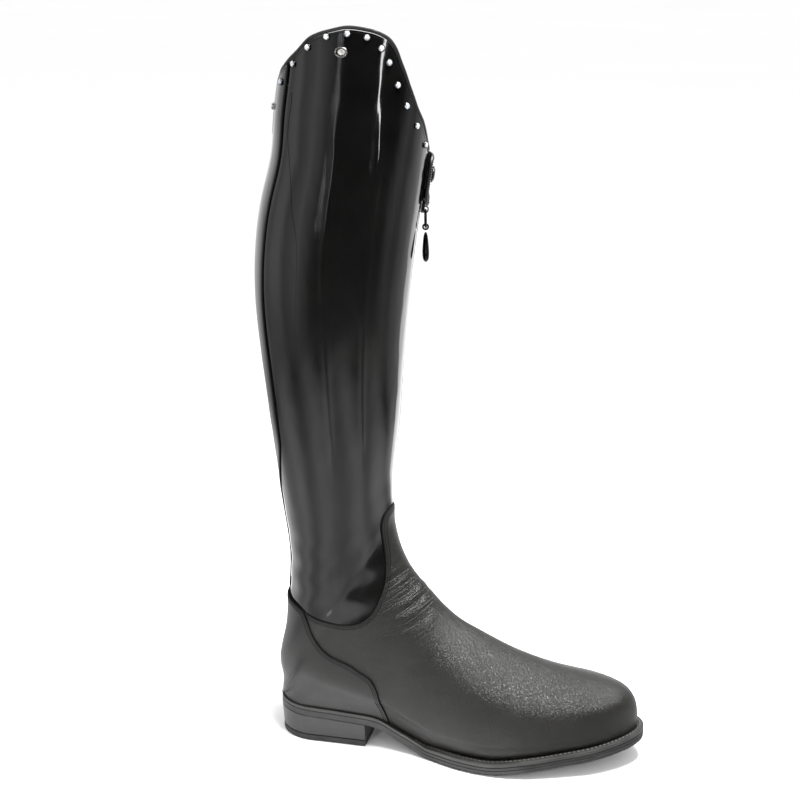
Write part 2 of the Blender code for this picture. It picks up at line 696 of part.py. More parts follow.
def skin_frame(place, height, out=0.0):
    """Point on the skin at a place and height, and its directions round, up and out."""
    stations = np.linspace(HEEL_SECTION + 1, LAST_SECTION, 60)
    heights = skin(stations, np.array([place]))[:, 0, 2]
    station = float(np.interp(height, heights, stations))
    step = 0.02
    near = skin([station - step, station, station + step], np.array([place - step, place, place + step]))
    around = near[1, 2] - near[1, 0]
    around /= np.linalg.norm(around)
    rise = near[2, 1] - near[0, 1]
    normal = np.cross(around, rise)
    normal /= np.linalg.norm(normal)
    return near[1, 1] + normal * out, around, np.cross(normal, around), normal


def place_beside_zip(shift, height):
    """Place round the leg that lies a distance along the surface from the zip's line."""
    left, around, _, _ = skin_frame(ZIP_PLACE - 0.01, height)
    right = skin_frame(ZIP_PLACE + 0.01, height)[0]
    return ZIP_PLACE + shift * 0.02 / np.linalg.norm(right - left)


def make_upper(leather, counter_leather, patent):
    """Foot, counter and leg from one skin, parted along the seams."""
    foot_sheet = sheet(foot_stations(), places())
    seam = side_field(SEAM_ROWS)
    counter_edge = side_field(COUNTER_ROWS)
    foot = clip(foot_sheet, lambda table: -GAP / 2 - seam(table))
    add_solid("vamp_upper", *shell(foot, 0.0, UPPER_WALL), leather)
    counter = clip(clip(foot_sheet, lambda table: -GAP / 2 - seam(table)),
                   lambda table: -counter_edge(table))
    add_solid("counter", *shell(counter, GAP + OVERLAY, -GAP), counter_leather)

    whole_leg = sheet(leg_stations(), places())
    above = clip(whole_leg, lambda table: seam(table) - GAP / 2)
    below = collar_field()
    under_edge = clip(above, lambda table: below(table) - BINDING_HEIGHT - GAP)
    leg = clip(under_edge, zip_slot_field)
    add_solid("shaft", *shell(leg, -LAP_STEP, LAP_STEP + SHAFT_WALL), patent)

    edge = clip(clip(whole_leg, below), lambda table: BINDING_HEIGHT - below(table))
    edge = clip(edge, zip_slot_field)
    add_solid("collar_binding", *shell(edge, BINDING_LIP - LAP_STEP,
                                       LAP_STEP + SHAFT_WALL + BINDING_LIP), leather)

    strip = clip(above, lambda table: below(table) - BINDING_HEIGHT - BINDING_LIP - 2 * GAP)
    strip = clip(strip, lambda table: seam(table) - 2 * GAP)
    strip = clip(strip, strip_field)
    add_solid("back_strip", *shell(strip, GAP + OVERLAY - LAP_STEP, LAP_STEP - GAP), patent)
    return whole_leg


def foot_stations():
    """Section numbers of the foot and the lower leg, closer together at waist and heel."""
    close = np.arange(HALVES_FROM, HALVES_TO, 0.5)
    return np.concatenate([np.arange(0.0, HALVES_FROM), close, np.arange(HALVES_TO, HEEL_SECTION + 6.0)])


def leg_stations():
    """Section numbers from the instep to the top of the leg."""
    foot = foot_stations()
    top = np.arange(TOP_FROM, LAST_SECTION + 0.25, 0.5)
    return np.concatenate([foot[foot >= SEAM_FROM], np.arange(HEEL_SECTION + 6.0, TOP_FROM), top])


def zip_slot_field(table):
    """Positive outside the slot that the zip fills."""
    beside = np.abs(table[:, 7]) - ZIP_SLOT / 2
    below = up_to(ZIP_FOOT_UP) - table[:, 2]
    return np.maximum(beside, below)


def strip_field(table):
    share = (table[:, 2] - feather_height(0.0)) / LEG_HEIGHT
    ups = column(STRIP_COLUMNS, STRIP_ROWS, "up")
    half = steady(ups, column(STRIP_COLUMNS, STRIP_ROWS, "half"), np.clip(share, ups[0], ups[-1]))
    from_back = np.minimum(table[:, 6], 1 - table[:, 6])
    return (half - from_back) * 3 * CALF_WIDTH


def make_zip(whole_leg, tape_cloth, teeth_metal):
    """Cloth tape behind the slot and the closed band of teeth in it."""
    span = (up_to(ZIP_FOOT_UP), up_to(ZIP_HEAD_UP))
    depth = LAP_STEP + SHAFT_WALL + GAP

    def within(table, half, margin):
        beside = half - np.abs(table[:, 7])
        above_foot = table[:, 2] - span[0] + margin
        below_head = span[1] + margin - table[:, 2]
        return np.minimum(beside, np.minimum(above_foot, below_head))

    fine = sheet(zip_stations(), places())
    tape = clip(fine, lambda table: within(table, ZIP_TAPE_WIDTH / 2, 4 * ZIP_TAPE_THICKNESS))
    add_solid("zip_tape", *shell(tape, -depth, depth + ZIP_TAPE_THICKNESS), tape_cloth)
    teeth = clip(fine, lambda table: within(table, ZIP_SLOT / 2 - GAP, -2 * GAP))
    add_solid("zip_teeth", *shell(teeth, ZIP_RISE - LAP_STEP, depth - GAP), teeth_metal)


def zip_stations():
    return np.arange(HEEL_SECTION + 2.0, LAST_SECTION + 0.5, 1.0)


def prism(profile, spine, across, up, thickness):
    """Solid of even thickness along a direction, its profile given in two others."""
    count = len(profile)
    flat = np.array([spine[0] + p * across + q * up for p, q in profile])
    half = spine[1] * thickness / 2
    points = np.vstack([flat - half, flat + half])
    faces = [tuple(reversed(range(count))), tuple(range(count, 2 * count))]
    faces += [(k, (k + 1) % count, (k + 1) % count + count, k + count) for k in range(count)]
    return points, faces


def rounded(width, height, corner, steps=4):
    """Outline of a rectangle with round corners, anticlockwise."""
    outline_points = []
    for k in range(4):
        middle = (math.copysign(width / 2 - corner, (1, -1, -1, 1)[k]),
                  math.copysign(height / 2 - corner, (1, 1, -1, -1)[k]))
        for i in range(steps + 1):
            angle = math.pi / 2 * (k + i / steps)
            outline_points.append((middle[0] + corner * math.cos(angle),
                                   middle[1] + corner * math.sin(angle)))
    return outline_points


def tube(path, radius, side, sides=6):
    """Closed loop of round wire along a path that lies in one plane with the given normal."""
    count = len(path)
    points = []
    for k in range(count):
        run = path[(k + 1) % count] - path[k - 1]
        run = run / np.linalg.norm(run)
        across = np.cross(side, run)
        for i in range(sides):
            angle = 2 * math.pi * i / sides
            points.append(path[k] + radius * (math.cos(angle) * across + math.sin(angle) * side))
    faces = []
    for k in range(count):
        for i in range(sides):
            j = (i + 1) % sides
            after = (k + 1) % count * sides
            faces.append((k * sides + i, k * sides + j, after + j, after + i))
    return np.array(points), faces


def combine(target, tool, operation):
    """Joins a helper to a piece or cuts it out, and hides the helper."""
    modifier = target.modifiers.new(tool.name, "BOOLEAN")
    modifier.operation = operation
    modifier.object = tool
    tool.hide_render = True
    tool.display_type = "WIRE"


def make_slider(metal):
    """Slider body with the bridge that the puller's link hangs in. Returns the hinge point."""
    middle, around, up, out = skin_frame(ZIP_PLACE, up_to(SLIDER_UP), ZIP_RISE - LAP_STEP + GAP)
    base = middle + out * SLIDER_THICKNESS / 2
    plate = rounded(SLIDER_WIDTH, SLIDER_LENGTH, SLIDER_WIDTH / 4)
    slider = add_solid("zip_slider", *prism(plate, (base, out), around, up, SLIDER_THICKNESS), metal)
    foot = middle - up * (SLIDER_LENGTH - BRIDGE_LENGTH) / 2
    arch_top = SLIDER_THICKNESS + BRIDGE_HEIGHT
    rim = BRIDGE_HEIGHT / 4
    outside = ((-BRIDGE_LENGTH / 2, SLIDER_THICKNESS / 2), (BRIDGE_LENGTH / 2, SLIDER_THICKNESS / 2),
               (BRIDGE_LENGTH / 2, arch_top - rim), (BRIDGE_LENGTH / 2 - rim, arch_top),
               (rim - BRIDGE_LENGTH / 2, arch_top), (-BRIDGE_LENGTH / 2, arch_top - rim))
    bridge = add_solid("bridge_shape", *prism(outside, (foot, around), up, out, BRIDGE_WIDTH), metal)
    window_half = BRIDGE_LENGTH / 2 - rim
    window = ((-window_half, SLIDER_THICKNESS), (window_half, SLIDER_THICKNESS),
              (window_half, arch_top - rim), (-window_half, arch_top - rim))
    hole = add_solid("bridge_window", *prism(window, (foot, around), up, out, 2 * BRIDGE_WIDTH), metal)
    combine(slider, bridge, "UNION")
    combine(slider, hole, "DIFFERENCE")
    hinge = foot - up * (window_half - LINK_WIRE / 2 - PIVOT_PLAY)
    hinge = hinge + out * (SLIDER_THICKNESS + LINK_WIRE / 2 + PIVOT_PLAY)
    return hinge, around


def make_puller(hinge, around, metal, coated):
    """Wire link on the slider's bridge and the drop-shaped puller that hangs on it."""
    down = np.array([0.0, 0.0, -1.0])
    side = np.cross(around, down)
    side /= np.linalg.norm(side)
    down = np.cross(side, around)
    ring = rounded(LINK_WIDTH - LINK_WIRE, LINK_LENGTH - LINK_WIRE, (LINK_WIDTH - LINK_WIRE) / 3, 3)
    middle = hinge + down * (LINK_LENGTH - LINK_WIRE) / 2
    path = np.array([middle + p * around + q * down for p, q in ring])
    add_solid("pull_link", *tube(path, LINK_WIRE / 2, np.cross(around, down)), metal, hinge)
    bar = hinge + down * (LINK_LENGTH - LINK_WIRE)
    neck_top = LINK_WIRE / 2 + 2 * PIVOT_PLAY + LINK_WIRE / 2
    rows = ((-neck_top, NECK_WIDTH, 2 * neck_top), (neck_top, NECK_WIDTH, 2 * neck_top),
            (0.20 * DROP_LENGTH, 0.42 * DROP_WIDTH, 0.62 * DROP_THICKNESS),
            (0.45 * DROP_LENGTH, 0.78 * DROP_WIDTH, 0.85 * DROP_THICKNESS),
            (0.70 * DROP_LENGTH, DROP_WIDTH, DROP_THICKNESS),
            (0.86 * DROP_LENGTH, 0.86 * DROP_WIDTH, 0.90 * DROP_THICKNESS),
            (0.96 * DROP_LENGTH, 0.45 * DROP_WIDTH, 0.55 * DROP_THICKNESS))
    loops = []
    for reach, width, depth in rows:
        angles = np.linspace(0, 2 * math.pi, 12, endpoint=False)
        centre = bar + down * (reach + neck_top)
        loops.append([centre + around * width / 2 * math.cos(a) + side * depth / 2 * math.sin(a)
                      for a in angles])
    points = np.vstack(loops)
    count = len(loops[0])
    faces = [tuple(reversed(range(count))), tuple(range(len(points) - count, len(points)))]
    for k in range(len(loops) - 1):
        for i in range(count):
            j = (i + 1) % count
            faces.append((k * count + i, k * count + j, (k + 1) * count + j, (k + 1) * count + i))
    drop = add_solid("pull_drop", points, faces, coated, hinge)
    eye = rounded(2 * (LINK_WIRE / 2 + PIVOT_PLAY), 2 * (LINK_WIRE / 2 + PIVOT_PLAY),
                  LINK_WIRE / 2 + PIVOT_PLAY)
    cutter = add_solid("drop_eye", *prism(eye, (bar, around), down, side, 2 * NECK_WIDTH), metal, hinge)
    combine(drop, cutter, "DIFFERENCE")


def make_tab(leather, metal):
    """Snap tab over the head of the zip, with its button."""
    height = up_to(TAB_UP)
    lowest = height - TAB_HEIGHT / 2
    columns = np.arange(-5, 9) * 0.36 * SLIDER_WIDTH / (3 * CALF_WIDTH)
    fine = sheet(np.arange(LAST_SECTION - 8.0, LAST_SECTION - 1.0, 0.25), ZIP_PLACE + columns)

    def tab_field(table):
        corner = TAB_HEIGHT / 5
        aside = np.abs(table[:, 7] - TAB_SHIFT) - TAB_WIDTH / 2 + corner
        away = np.abs(table[:, 2] - height) - TAB_HEIGHT / 2 + corner
        round_part = np.hypot(np.maximum(aside, 0), np.maximum(away, 0))
        return corner - round_part - np.minimum(np.maximum(aside, away), 0)

    tab = clip(fine, tab_field)
    up, beside = tab[0][:, 2], tab[0][:, 7]
    held_end = TAB_SHIFT + TAB_WIDTH / 2
    lift = np.clip((held_end - SLIDER_WIDTH / 2 - beside) / SLIDER_WIDTH, 0, 1)
    over_zip = np.clip(2.1 - np.abs(beside) / (0.6 * SLIDER_WIDTH), 0, 1)
    over_slider = np.clip((lowest + SLIDER_LENGTH - up) / (0.4 * SLIDER_LENGTH), 0, 1)
    inner = (GAP - LAP_STEP + lift * (TAB_LIFT + ZIP_RISE + GAP)
             + over_zip * over_slider * (SLIDER_THICKNESS - TAB_LIFT + 2 * GAP))
    add_solid("snap_tab", *shell(tab, inner + TAB_THICKNESS, -inner), leather)
    place = place_beside_zip(SNAP_SHIFT, up_to(SNAP_UP))
    rise = 3 * GAP - LAP_STEP + TAB_LIFT + ZIP_RISE + TAB_THICKNESS
    spot, around, up, out = skin_frame(place, up_to(SNAP_UP), rise)
    half = SNAP_DIAMETER / 2
    profile = ((0.86, 0.0), (1.0, 0.25), (1.0, 0.55), (0.78, 0.85), (0.40, 1.0))
    add_solid("snap_button", *turned(profile, spot, around, up, out, half, half, SNAP_THICKNESS, 12),
              metal)


def turned(profile, spot, around, up, out, half_width, half_height, thickness, sides):
    """Round or oval piece on a surface, from its radius share and height share."""
    points = []
    for radius, height in profile:
        for k in range(sides):
            angle = 2 * math.pi * k / sides
            points.append(spot + out * height * thickness + around * radius * half_width * math.cos(angle)
                          + up * radius * half_height * math.sin(angle))
    count = len(profile)
    faces = [tuple(reversed(range(sides))), tuple(range((count - 1) * sides, count * sides))]
    for k in range(count - 1):
        for i in range(sides):
            j = (i + 1) % sides
            faces.append((k * sides + i, k * sides + j, (k + 1) * sides + j, (k + 1) * sides + i))
    return np.array(points), faces


def make_trim(crystal, metal):
    """Row of studs under the top edge and the plain badge."""
    cut = ((1.0, 0.0), (0.92, 0.50), (0.46, 1.0))
    for number, (place, share) in enumerate(STUD_ROWS, 1):
        spot, around, up, out = skin_frame(place, up_to(share), GAP - LAP_STEP + stud_rise(place))
        half = STUD_DIAMETER / 2
        solid = turned(cut, spot, around, up, out, half, half, STUD_HEIGHT, 6)
        add_solid(f"stud_{number:02d}", *solid, crystal)
    plate = ((0.95, 0.0), (1.0, 0.4), (0.88, 1.0))
    spot, around, up, out = skin_frame(BADGE_PLACE, up_to(BADGE_UP), GAP - LAP_STEP)
    solid = turned(plate, spot, around, up, out, BADGE_WIDTH / 2, BADGE_HEIGHT / 2, BADGE_THICKNESS, 12)
    add_solid("badge", *solid, metal)


def stud_rise(place):
    """Studs that stand on the back panel are lifted by its thickness."""
    half = column(STRIP_COLUMNS, STRIP_ROWS, "half")[-1]
    edge = half + STUD_DIAMETER / (3 * CALF_WIDTH)
    return GAP + OVERLAY if place < edge else 0.0


def make_boot():
    for old in list(bpy.data.objects):
        bpy.data.objects.remove(old, do_unlink=True)
    calf = finish("satin_calf", (0.012, 0.012, 0.013), 0.42)
    counter_calf = finish("counter_calf", (0.014, 0.014, 0.015), 0.36)
    patent = finish("patent_leather", (0.008, 0.008, 0.009), 0.10)
    rubber = finish("sole_rubber", (0.018, 0.018, 0.019), 0.55)
    welt_leather = finish("welt_leather", (0.020, 0.019, 0.019), 0.45)
    lining = finish("lining_leather", (0.035, 0.032, 0.030), 0.60)
    cloth = finish("zip_cloth", (0.010, 0.010, 0.010), 0.85)
    dark_metal = finish("dark_metal", (0.10, 0.10, 0.105), 0.30, 1.0)
    steel = finish("bright_metal", (0.55, 0.55, 0.57), 0.22, 1.0)
    crystal = finish("crystal", (0.75, 0.77, 0.80), 0.05)
    make_outsole(rubber)
    make_welt(welt_leather)
    make_insole(lining)
    make_heel(welt_leather, rubber)
    whole_leg = make_upper(calf, counter_calf, patent)
    make_zip(whole_leg, cloth, dark_metal)
    hinge, around = make_slider(dark_metal)
    make_puller(hinge, around, dark_metal, dark_metal)
    make_tab(calf, dark_metal)
    make_trim(crystal, steel)


make_boot()
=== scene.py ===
"""Finish of a tall dress riding boot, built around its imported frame.

The skin is worked out again from the same sections as the solids, at a finer pitch, and is parted
along the same seams. Points are laid out from the back end of the heel and moved by half the
heel's length as they become pieces. X runs to the toe, Y to the inner side and Z up, in metres.
"""
import math
from functools import lru_cache

import bpy
import numpy as np
from mathutils import Matrix, Vector


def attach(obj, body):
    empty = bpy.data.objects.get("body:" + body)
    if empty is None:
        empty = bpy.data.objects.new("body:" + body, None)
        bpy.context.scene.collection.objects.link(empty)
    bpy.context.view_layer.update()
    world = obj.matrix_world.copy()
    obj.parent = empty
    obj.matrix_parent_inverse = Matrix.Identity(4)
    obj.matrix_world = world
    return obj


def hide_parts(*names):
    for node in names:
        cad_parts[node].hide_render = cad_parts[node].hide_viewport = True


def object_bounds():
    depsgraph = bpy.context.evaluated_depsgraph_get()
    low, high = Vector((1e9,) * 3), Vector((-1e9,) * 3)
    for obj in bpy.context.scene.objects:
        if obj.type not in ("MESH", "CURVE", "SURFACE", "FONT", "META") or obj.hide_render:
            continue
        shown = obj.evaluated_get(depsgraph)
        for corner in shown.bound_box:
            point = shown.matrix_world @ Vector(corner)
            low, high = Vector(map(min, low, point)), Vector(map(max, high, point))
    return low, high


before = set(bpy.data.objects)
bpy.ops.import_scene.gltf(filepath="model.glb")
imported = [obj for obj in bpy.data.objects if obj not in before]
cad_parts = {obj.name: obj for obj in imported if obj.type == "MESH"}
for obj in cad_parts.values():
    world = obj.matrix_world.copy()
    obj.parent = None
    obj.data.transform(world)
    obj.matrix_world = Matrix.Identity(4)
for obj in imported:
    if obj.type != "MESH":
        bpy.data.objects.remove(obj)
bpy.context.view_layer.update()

# Sizes of the sole
SOLE_LENGTH = 0.288
BALL_WIDTH = 0.098
HEEL_WIDTH = 0.058
HEEL_LENGTH = 0.0748
HEEL_HEIGHT = 0.0195
HEEL_TAPER = 0.0010
TOP_PIECE_THICKNESS = 0.0048
SOLE_THICKNESS = 0.0070
EDGE_STEP = 0.0006
WELT_THICKNESS = 0.0030
WELT_WIDTH = 0.0065
WELT_DEPTH = 0.0080
INSOLE_THICKNESS = 0.0030
TOE_SPRING = 0.0165

# Sizes of the upper and the leg
INSTEP_HEIGHT = 0.0950
LEG_HEIGHT = 0.5250
ANKLE_DEPTH = 0.0830
ANKLE_WIDTH = 0.0780
CALF_DEPTH = 0.1180
CALF_WIDTH = 0.1120
UPPER_WALL = 0.0020
SHAFT_WALL = 0.0024
LAP_STEP = 0.0008
OVERLAY = 0.0009
BINDING_HEIGHT = 0.0024
BINDING_LIP = 0.0004

# Sizes of the zip and its puller
ZIP_SLOT = 0.0070
ZIP_RISE = 0.0005
ZIP_TAPE_WIDTH = 0.0220
ZIP_TAPE_THICKNESS = 0.0008
SLIDER_WIDTH = 0.0090
SLIDER_LENGTH = 0.0110
SLIDER_THICKNESS = 0.0022
BRIDGE_WIDTH = 0.0024
BRIDGE_LENGTH = 0.0052
BRIDGE_HEIGHT = 0.0034
LINK_WIRE = 0.0016
LINK_WIDTH = 0.0064
LINK_LENGTH = 0.0140
DROP_LENGTH = 0.0240
DROP_WIDTH = 0.0095
DROP_THICKNESS = 0.0052
PIVOT_PLAY = 0.0004

# Sizes of the snap tab and the trim
TAB_WIDTH = 0.0360
TAB_HEIGHT = 0.0370
TAB_THICKNESS = 0.0016
TAB_LIFT = 0.0014
SNAP_DIAMETER = 0.0120
SNAP_THICKNESS = 0.0022
STUD_DIAMETER = 0.0050
STUD_HEIGHT = 0.0020
BADGE_WIDTH = 0.0090
BADGE_HEIGHT = 0.0072
BADGE_THICKNESS = 0.0012

# Clearance between pieces that touch
GAP = 0.0003

# Plan of the sole: shares of SOLE_LENGTH and of the width of heel or ball
OUTLINE_COLUMNS = ("along", "heel_part", "centre", "outer", "inner")
OUTLINE_ROWS = (
    (0.00, 1.0, 0.000, 0.500, 0.500),
    (0.20, 1.0, 0.000, 0.500, 0.492),
    (0.34, 0.6, 0.000, 0.412, 0.324),
    (0.43, 0.3, 0.000, 0.432, 0.310),
    (0.51, 0.0, 0.000, 0.474, 0.335),
    (0.59, 0.0, 0.000, 0.526, 0.405),
    (0.67, 0.0, 0.000, 0.535, 0.456),
    (0.75, 0.0, 0.010, 0.500, 0.462),
    (0.83, 0.0, 0.026, 0.437, 0.428),
    (0.91, 0.0, 0.038, 0.374, 0.375),
    (1.00, 0.0, 0.043, 0.296, 0.316),
)
HEEL_ROUND = 0.108
TOE_ROUND = 0.160

# Side view of the sole: shares of HEEL_HEIGHT, TOE_SPRING, SOLE_THICKNESS and WELT_WIDTH
HEIGHT_COLUMNS = ("along", "heel", "toe", "thickness", "margin")
HEIGHT_ROWS = (
    (0.000, 1.20, 0.00, 0.57, 0.40),
    (0.260, 1.00, 0.00, 0.66, 0.40),
    (0.292, 0.92, 0.00, 0.70, 0.42),
    (0.317, 0.78, 0.00, 0.73, 0.45),
    (0.338, 0.60, 0.00, 0.77, 0.48),
    (0.371, 0.38, 0.00, 0.84, 0.52),
    (0.408, 0.15, 0.00, 0.92, 0.60),
    (0.440, 0.00, 0.00, 0.97, 0.70),
    (0.500, 0.00, 0.00, 1.00, 0.88),
    (0.590, 0.00, 0.00, 1.00, 1.00),
    (0.700, 0.00, 0.26, 1.00, 1.00),
    (0.800, 0.00, 0.51, 1.00, 0.92),
    (0.900, 0.00, 0.75, 1.00, 0.82),
    (1.000, 0.00, 1.00, 1.00, 0.75),
)

# Sections of the foot, toe to heel: where each meets the sole and the top line, and its swell
FOOT_COLUMNS = ("low", "top", "rise", "outer", "inner", "wide", "ridge", "side", "crown")
FOOT_ROWS = (
    (1.000, 1.000, 0.055, 0.000, 0.000, 0.40, 0.043, 0.60, 0.62),
    (0.997, 0.997, 0.160, 0.008, 0.008, 0.38, 0.043, 0.60, 0.62),
    (0.988, 0.988, 0.238, 0.011, 0.011, 0.37, 0.043, 0.60, 0.62),
    (0.970, 0.970, 0.308, 0.013, 0.013, 0.36, 0.043, 0.60, 0.62),
    (0.943, 0.943, 0.360, 0.014, 0.014, 0.35, 0.044, 0.60, 0.61),
    (0.901, 0.901, 0.408, 0.015, 0.015, 0.34, 0.046, 0.58, 0.60),
    (0.837, 0.837, 0.468, 0.015, 0.015, 0.33, 0.050, 0.56, 0.58),
    (0.768, 0.768, 0.533, 0.015, 0.015, 0.31, 0.055, 0.54, 0.55),
    (0.687, 0.689, 0.641, 0.012, 0.015, 0.29, 0.056, 0.52, 0.52),
    (0.615, 0.623, 0.760, 0.017, 0.031, 0.27, 0.052, 0.50, 0.50),
    (0.536, 0.553, 0.872, 0.040, 0.066, 0.26, 0.044, 0.50, 0.48),
    (0.455, 0.500, 0.970, 0.070, 0.092, 0.25, 0.034, 0.50, 0.46),
    (0.372, 0.452, 1.035, 0.080, 0.102, 0.25, 0.024, 0.52, 0.45),
    (0.287, 0.410, 1.078, 0.080, 0.086, 0.25, 0.016, 0.55, 0.45),
    (0.204, 0.376, 1.180, 0.075, 0.066, 0.27, 0.010, 0.58, 0.45),
    (0.130, 0.353, 1.295, 0.071, 0.068, 0.29, 0.005, 0.60, 0.46),
    (0.066, 0.339, 1.405, 0.068, 0.067, 0.31, 0.002, 0.61, 0.47),
    (0.022, 0.331, 1.500, 0.067, 0.066, 0.33, 0.000, 0.61, 0.48),
    (0.000, 0.326, 1.590, 0.066, 0.066, 0.35, 0.000, 0.61, 0.49),
)

# Sections of the leg, heel to top. Back and depth are shares of the depth of ankle or calf
LEG_COLUMNS = ("calf_part", "back", "back_up", "depth", "front_up", "half", "wide", "side", "crown")
LEG_ROWS = (
    (0.00, 0.029, 0.022, 1.090, 0.016, 0.426, 0.37, 0.61, 0.50),
    (0.00, 0.011, 0.047, 1.112, 0.031, 0.433, 0.39, 0.61, 0.51),
    (0.00, 0.027, 0.079, 1.084, 0.048, 0.442, 0.41, 0.60, 0.52),
    (0.00, 0.065, 0.117, 1.031, 0.071, 0.455, 0.43, 0.59, 0.53),
    (0.00, 0.082, 0.166, 1.013, 0.100, 0.474, 0.44, 0.58, 0.54),
    (0.00, 0.099, 0.227, 1.010, 0.139, 0.500, 0.45, 0.57, 0.55),
    (0.10, 0.073, 0.290, 1.028, 0.180, 0.510, 0.46, 0.56, 0.55),
    (0.30, 0.039, 0.361, 1.016, 0.234, 0.505, 0.47, 0.56, 0.55),
    (0.50, -0.002, 0.441, 1.011, 0.301, 0.505, 0.47, 0.56, 0.55),
    (0.75, -0.040, 0.532, 0.993, 0.381, 0.502, 0.47, 0.56, 0.55),
    (0.95, -0.066, 0.618, 0.987, 0.467, 0.499, 0.47, 0.56, 0.55),
    (1.00, -0.049, 0.698, 0.998, 0.574, 0.502, 0.47, 0.56, 0.55),
    (1.00, 0.005, 0.765, 0.990, 0.667, 0.500, 0.47, 0.56, 0.55),
    (1.00, 0.073, 0.822, 0.962, 0.747, 0.491, 0.47, 0.56, 0.55),
    (1.00, 0.099, 0.879, 0.972, 0.828, 0.482, 0.47, 0.56, 0.55),
    (1.00, 0.137, 0.936, 0.965, 0.908, 0.473, 0.47, 0.56, 0.55),
    (1.00, 0.161, 1.001, 0.965, 1.000, 0.464, 0.47, 0.56, 0.55),
)
HEEL_SECTION = len(FOOT_ROWS) - 1
LAST_SECTION = len(FOOT_ROWS) + len(LEG_ROWS) - 1

# Seam between foot and leg in the side view: shares of ANKLE_DEPTH and INSTEP_HEIGHT over the seat
SEAM_ROWS = (
    (-0.20, 0.985), (0.00, 0.975), (0.217, 0.916), (0.361, 0.874), (0.410, 0.848), (0.592, 0.783),
    (0.767, 0.772), (0.886, 0.803), (0.977, 0.877), (1.047, 0.997), (1.080, 1.086), (1.089, 1.236),
    (1.082, 1.318), (1.060, 1.452), (1.051, 1.567), (1.075, 1.678), (1.125, 1.732), (1.450, 1.760),
)

# Front edge of the counter, in the same shares, from above the seam down past the welt
COUNTER_ROWS = (
    (0.300, 1.100), (0.369, 0.850), (0.396, 0.783), (0.430, 0.684), (0.501, 0.572), (0.566, 0.514),
    (0.680, 0.464), (0.808, 0.418), (0.893, 0.372), (0.975, 0.331), (1.042, 0.240), (1.076, 0.132),
    (1.118, 0.012), (1.150, -0.150),
)

# Top edge of the leg round the boot: place from the back over the outer side, share of LEG_HEIGHT
COLLAR_COLUMNS = ("place", "up")
COLLAR_ROWS = (
    (0.000, 0.855), (0.036, 0.857), (0.047, 0.868), (0.056, 0.925), (0.102, 0.945), (0.149, 0.963),
    (0.189, 0.982), (0.234, 0.991), (0.268, 0.995), (0.307, 0.991), (0.342, 0.981), (0.361, 0.967),
    (0.375, 0.949), (0.386, 0.936), (0.400, 0.919), (0.415, 0.903), (0.431, 0.887), (0.458, 0.867),
    (0.477, 0.851), (0.500, 0.835), (0.530, 0.826), (0.600, 0.828), (0.750, 0.834), (0.900, 0.846),
    (1.000, 0.855),
)

# Studs under the top edge, back to front
STUD_ROWS = (
    (0.058, 0.885), (0.104, 0.920), (0.143, 0.945), (0.185, 0.967), (0.228, 0.981), (0.268, 0.985),
    (0.303, 0.980), (0.330, 0.966), (0.347, 0.948), (0.369, 0.919), (0.396, 0.891), (0.431, 0.863),
    (0.473, 0.835),
)
BADGE_PLACE = 0.259
BADGE_UP = 0.962

# Panel over the back seam: its half width in places round the leg, by share of LEG_HEIGHT
STRIP_COLUMNS = ("up", "half")
STRIP_ROWS = (
    (0.090, 0.034), (0.200, 0.034), (0.270, 0.034), (0.320, 0.046), (0.375, 0.095), (0.420, 0.122),
    (0.500, 0.126), (0.900, 0.126), (1.050, 0.126),
)

# Where the zip and the snap tab lie round the leg and up it
ZIP_PLACE = 12 / 22
ZIP_FOOT_UP = 0.318
ZIP_HEAD_UP = 0.800
SLIDER_UP = 0.7455
TAB_UP = 0.7820
TAB_SHIFT = 0.0060
SNAP_UP = 0.7906
SNAP_SHIFT = -0.0050

# Section that the sheet of the leg starts from, below the seam
SEAM_FROM = 12

# Fineness of the surfaces
SKIN_STEP = 0.14
PLACES_ROUND = 240
SOLE_SAMPLES = 420
TREAD_PITCH = 0.0024

# Panel edges: radius of the turned edge, and the rows of stitches beside them
EDGE_RADIUS = 0.0010
# Share of that radius, from each panel's border, that is coloured near black: painted shade of the dark
# gap at the seam, with ink on the cut edge
INK_AND_SEAM_SHADE_SHARE = 0.72
FIRST_ROW = 0.0018
SECOND_ROW = 0.0034
STITCH_PITCH = 0.0018
STITCH_LENGTH = 0.0012
THREAD = 0.00090
WELT_STITCH_PITCH = 0.0034
WELT_STITCH_LENGTH = 0.0024
WELT_THREAD = 0.0010
FINE_THREAD = 0.7 * THREAD
TAB_STITCH_ROW = 0.0022
CORD_PITCH = 0.0012
PANEL_LINE = 0.00034

# How far each panel's border turns down
FOOT_TURN = 0.0006
COUNTER_TURN = 0.0008
LEG_TURN = 0.0007
STRIP_TURN = 0.0006
TAB_TURN = 0.0007

# Small metal: a tooth of the zip's coil and its spacing, the drop's eye, a prong of a setting
COIL_TOOTH = (0.0034, 0.00125, 0.0014)
COIL_PITCH = 0.0015
COIL_ASIDE = 0.0012
EYE_WIRE = 0.0007
PRONG_SIZE = (0.0007, 0.0007, 0.0013)

# Creases at the ankle: ends as shares of ANKLE_DEPTH and INSTEP_HEIGHT over the seat, depth, width
CREASE_ROWS = (
    (1.06, 0.92, 1.38, 1.10, 0.00060, 0.0026),
    (1.10, 0.99, 1.33, 1.14, 0.00045, 0.0024),
    (1.14, 0.87, 1.46, 1.02, 0.00055, 0.0026),
    (1.10, 1.12, 1.26, 1.20, 0.00040, 0.0024),
    (0.97, 0.68, 1.20, 0.82, 0.00035, 0.0032),
    (1.22, 0.76, 1.50, 0.90, 0.00040, 0.0034),
    (1.32, 0.44, 1.62, 0.60, 0.00035, 0.0044),
    (1.50, 0.32, 1.84, 0.46, 0.00030, 0.0046),
    (0.28, 0.68, 0.42, 0.60, 0.00040, 0.0038),
)
# Where the fine wrinkles gather: middle in the same shares, and how far they spread
WRINKLE_MIDDLE = (1.22, 0.98)
WRINKLE_REACH = 0.027

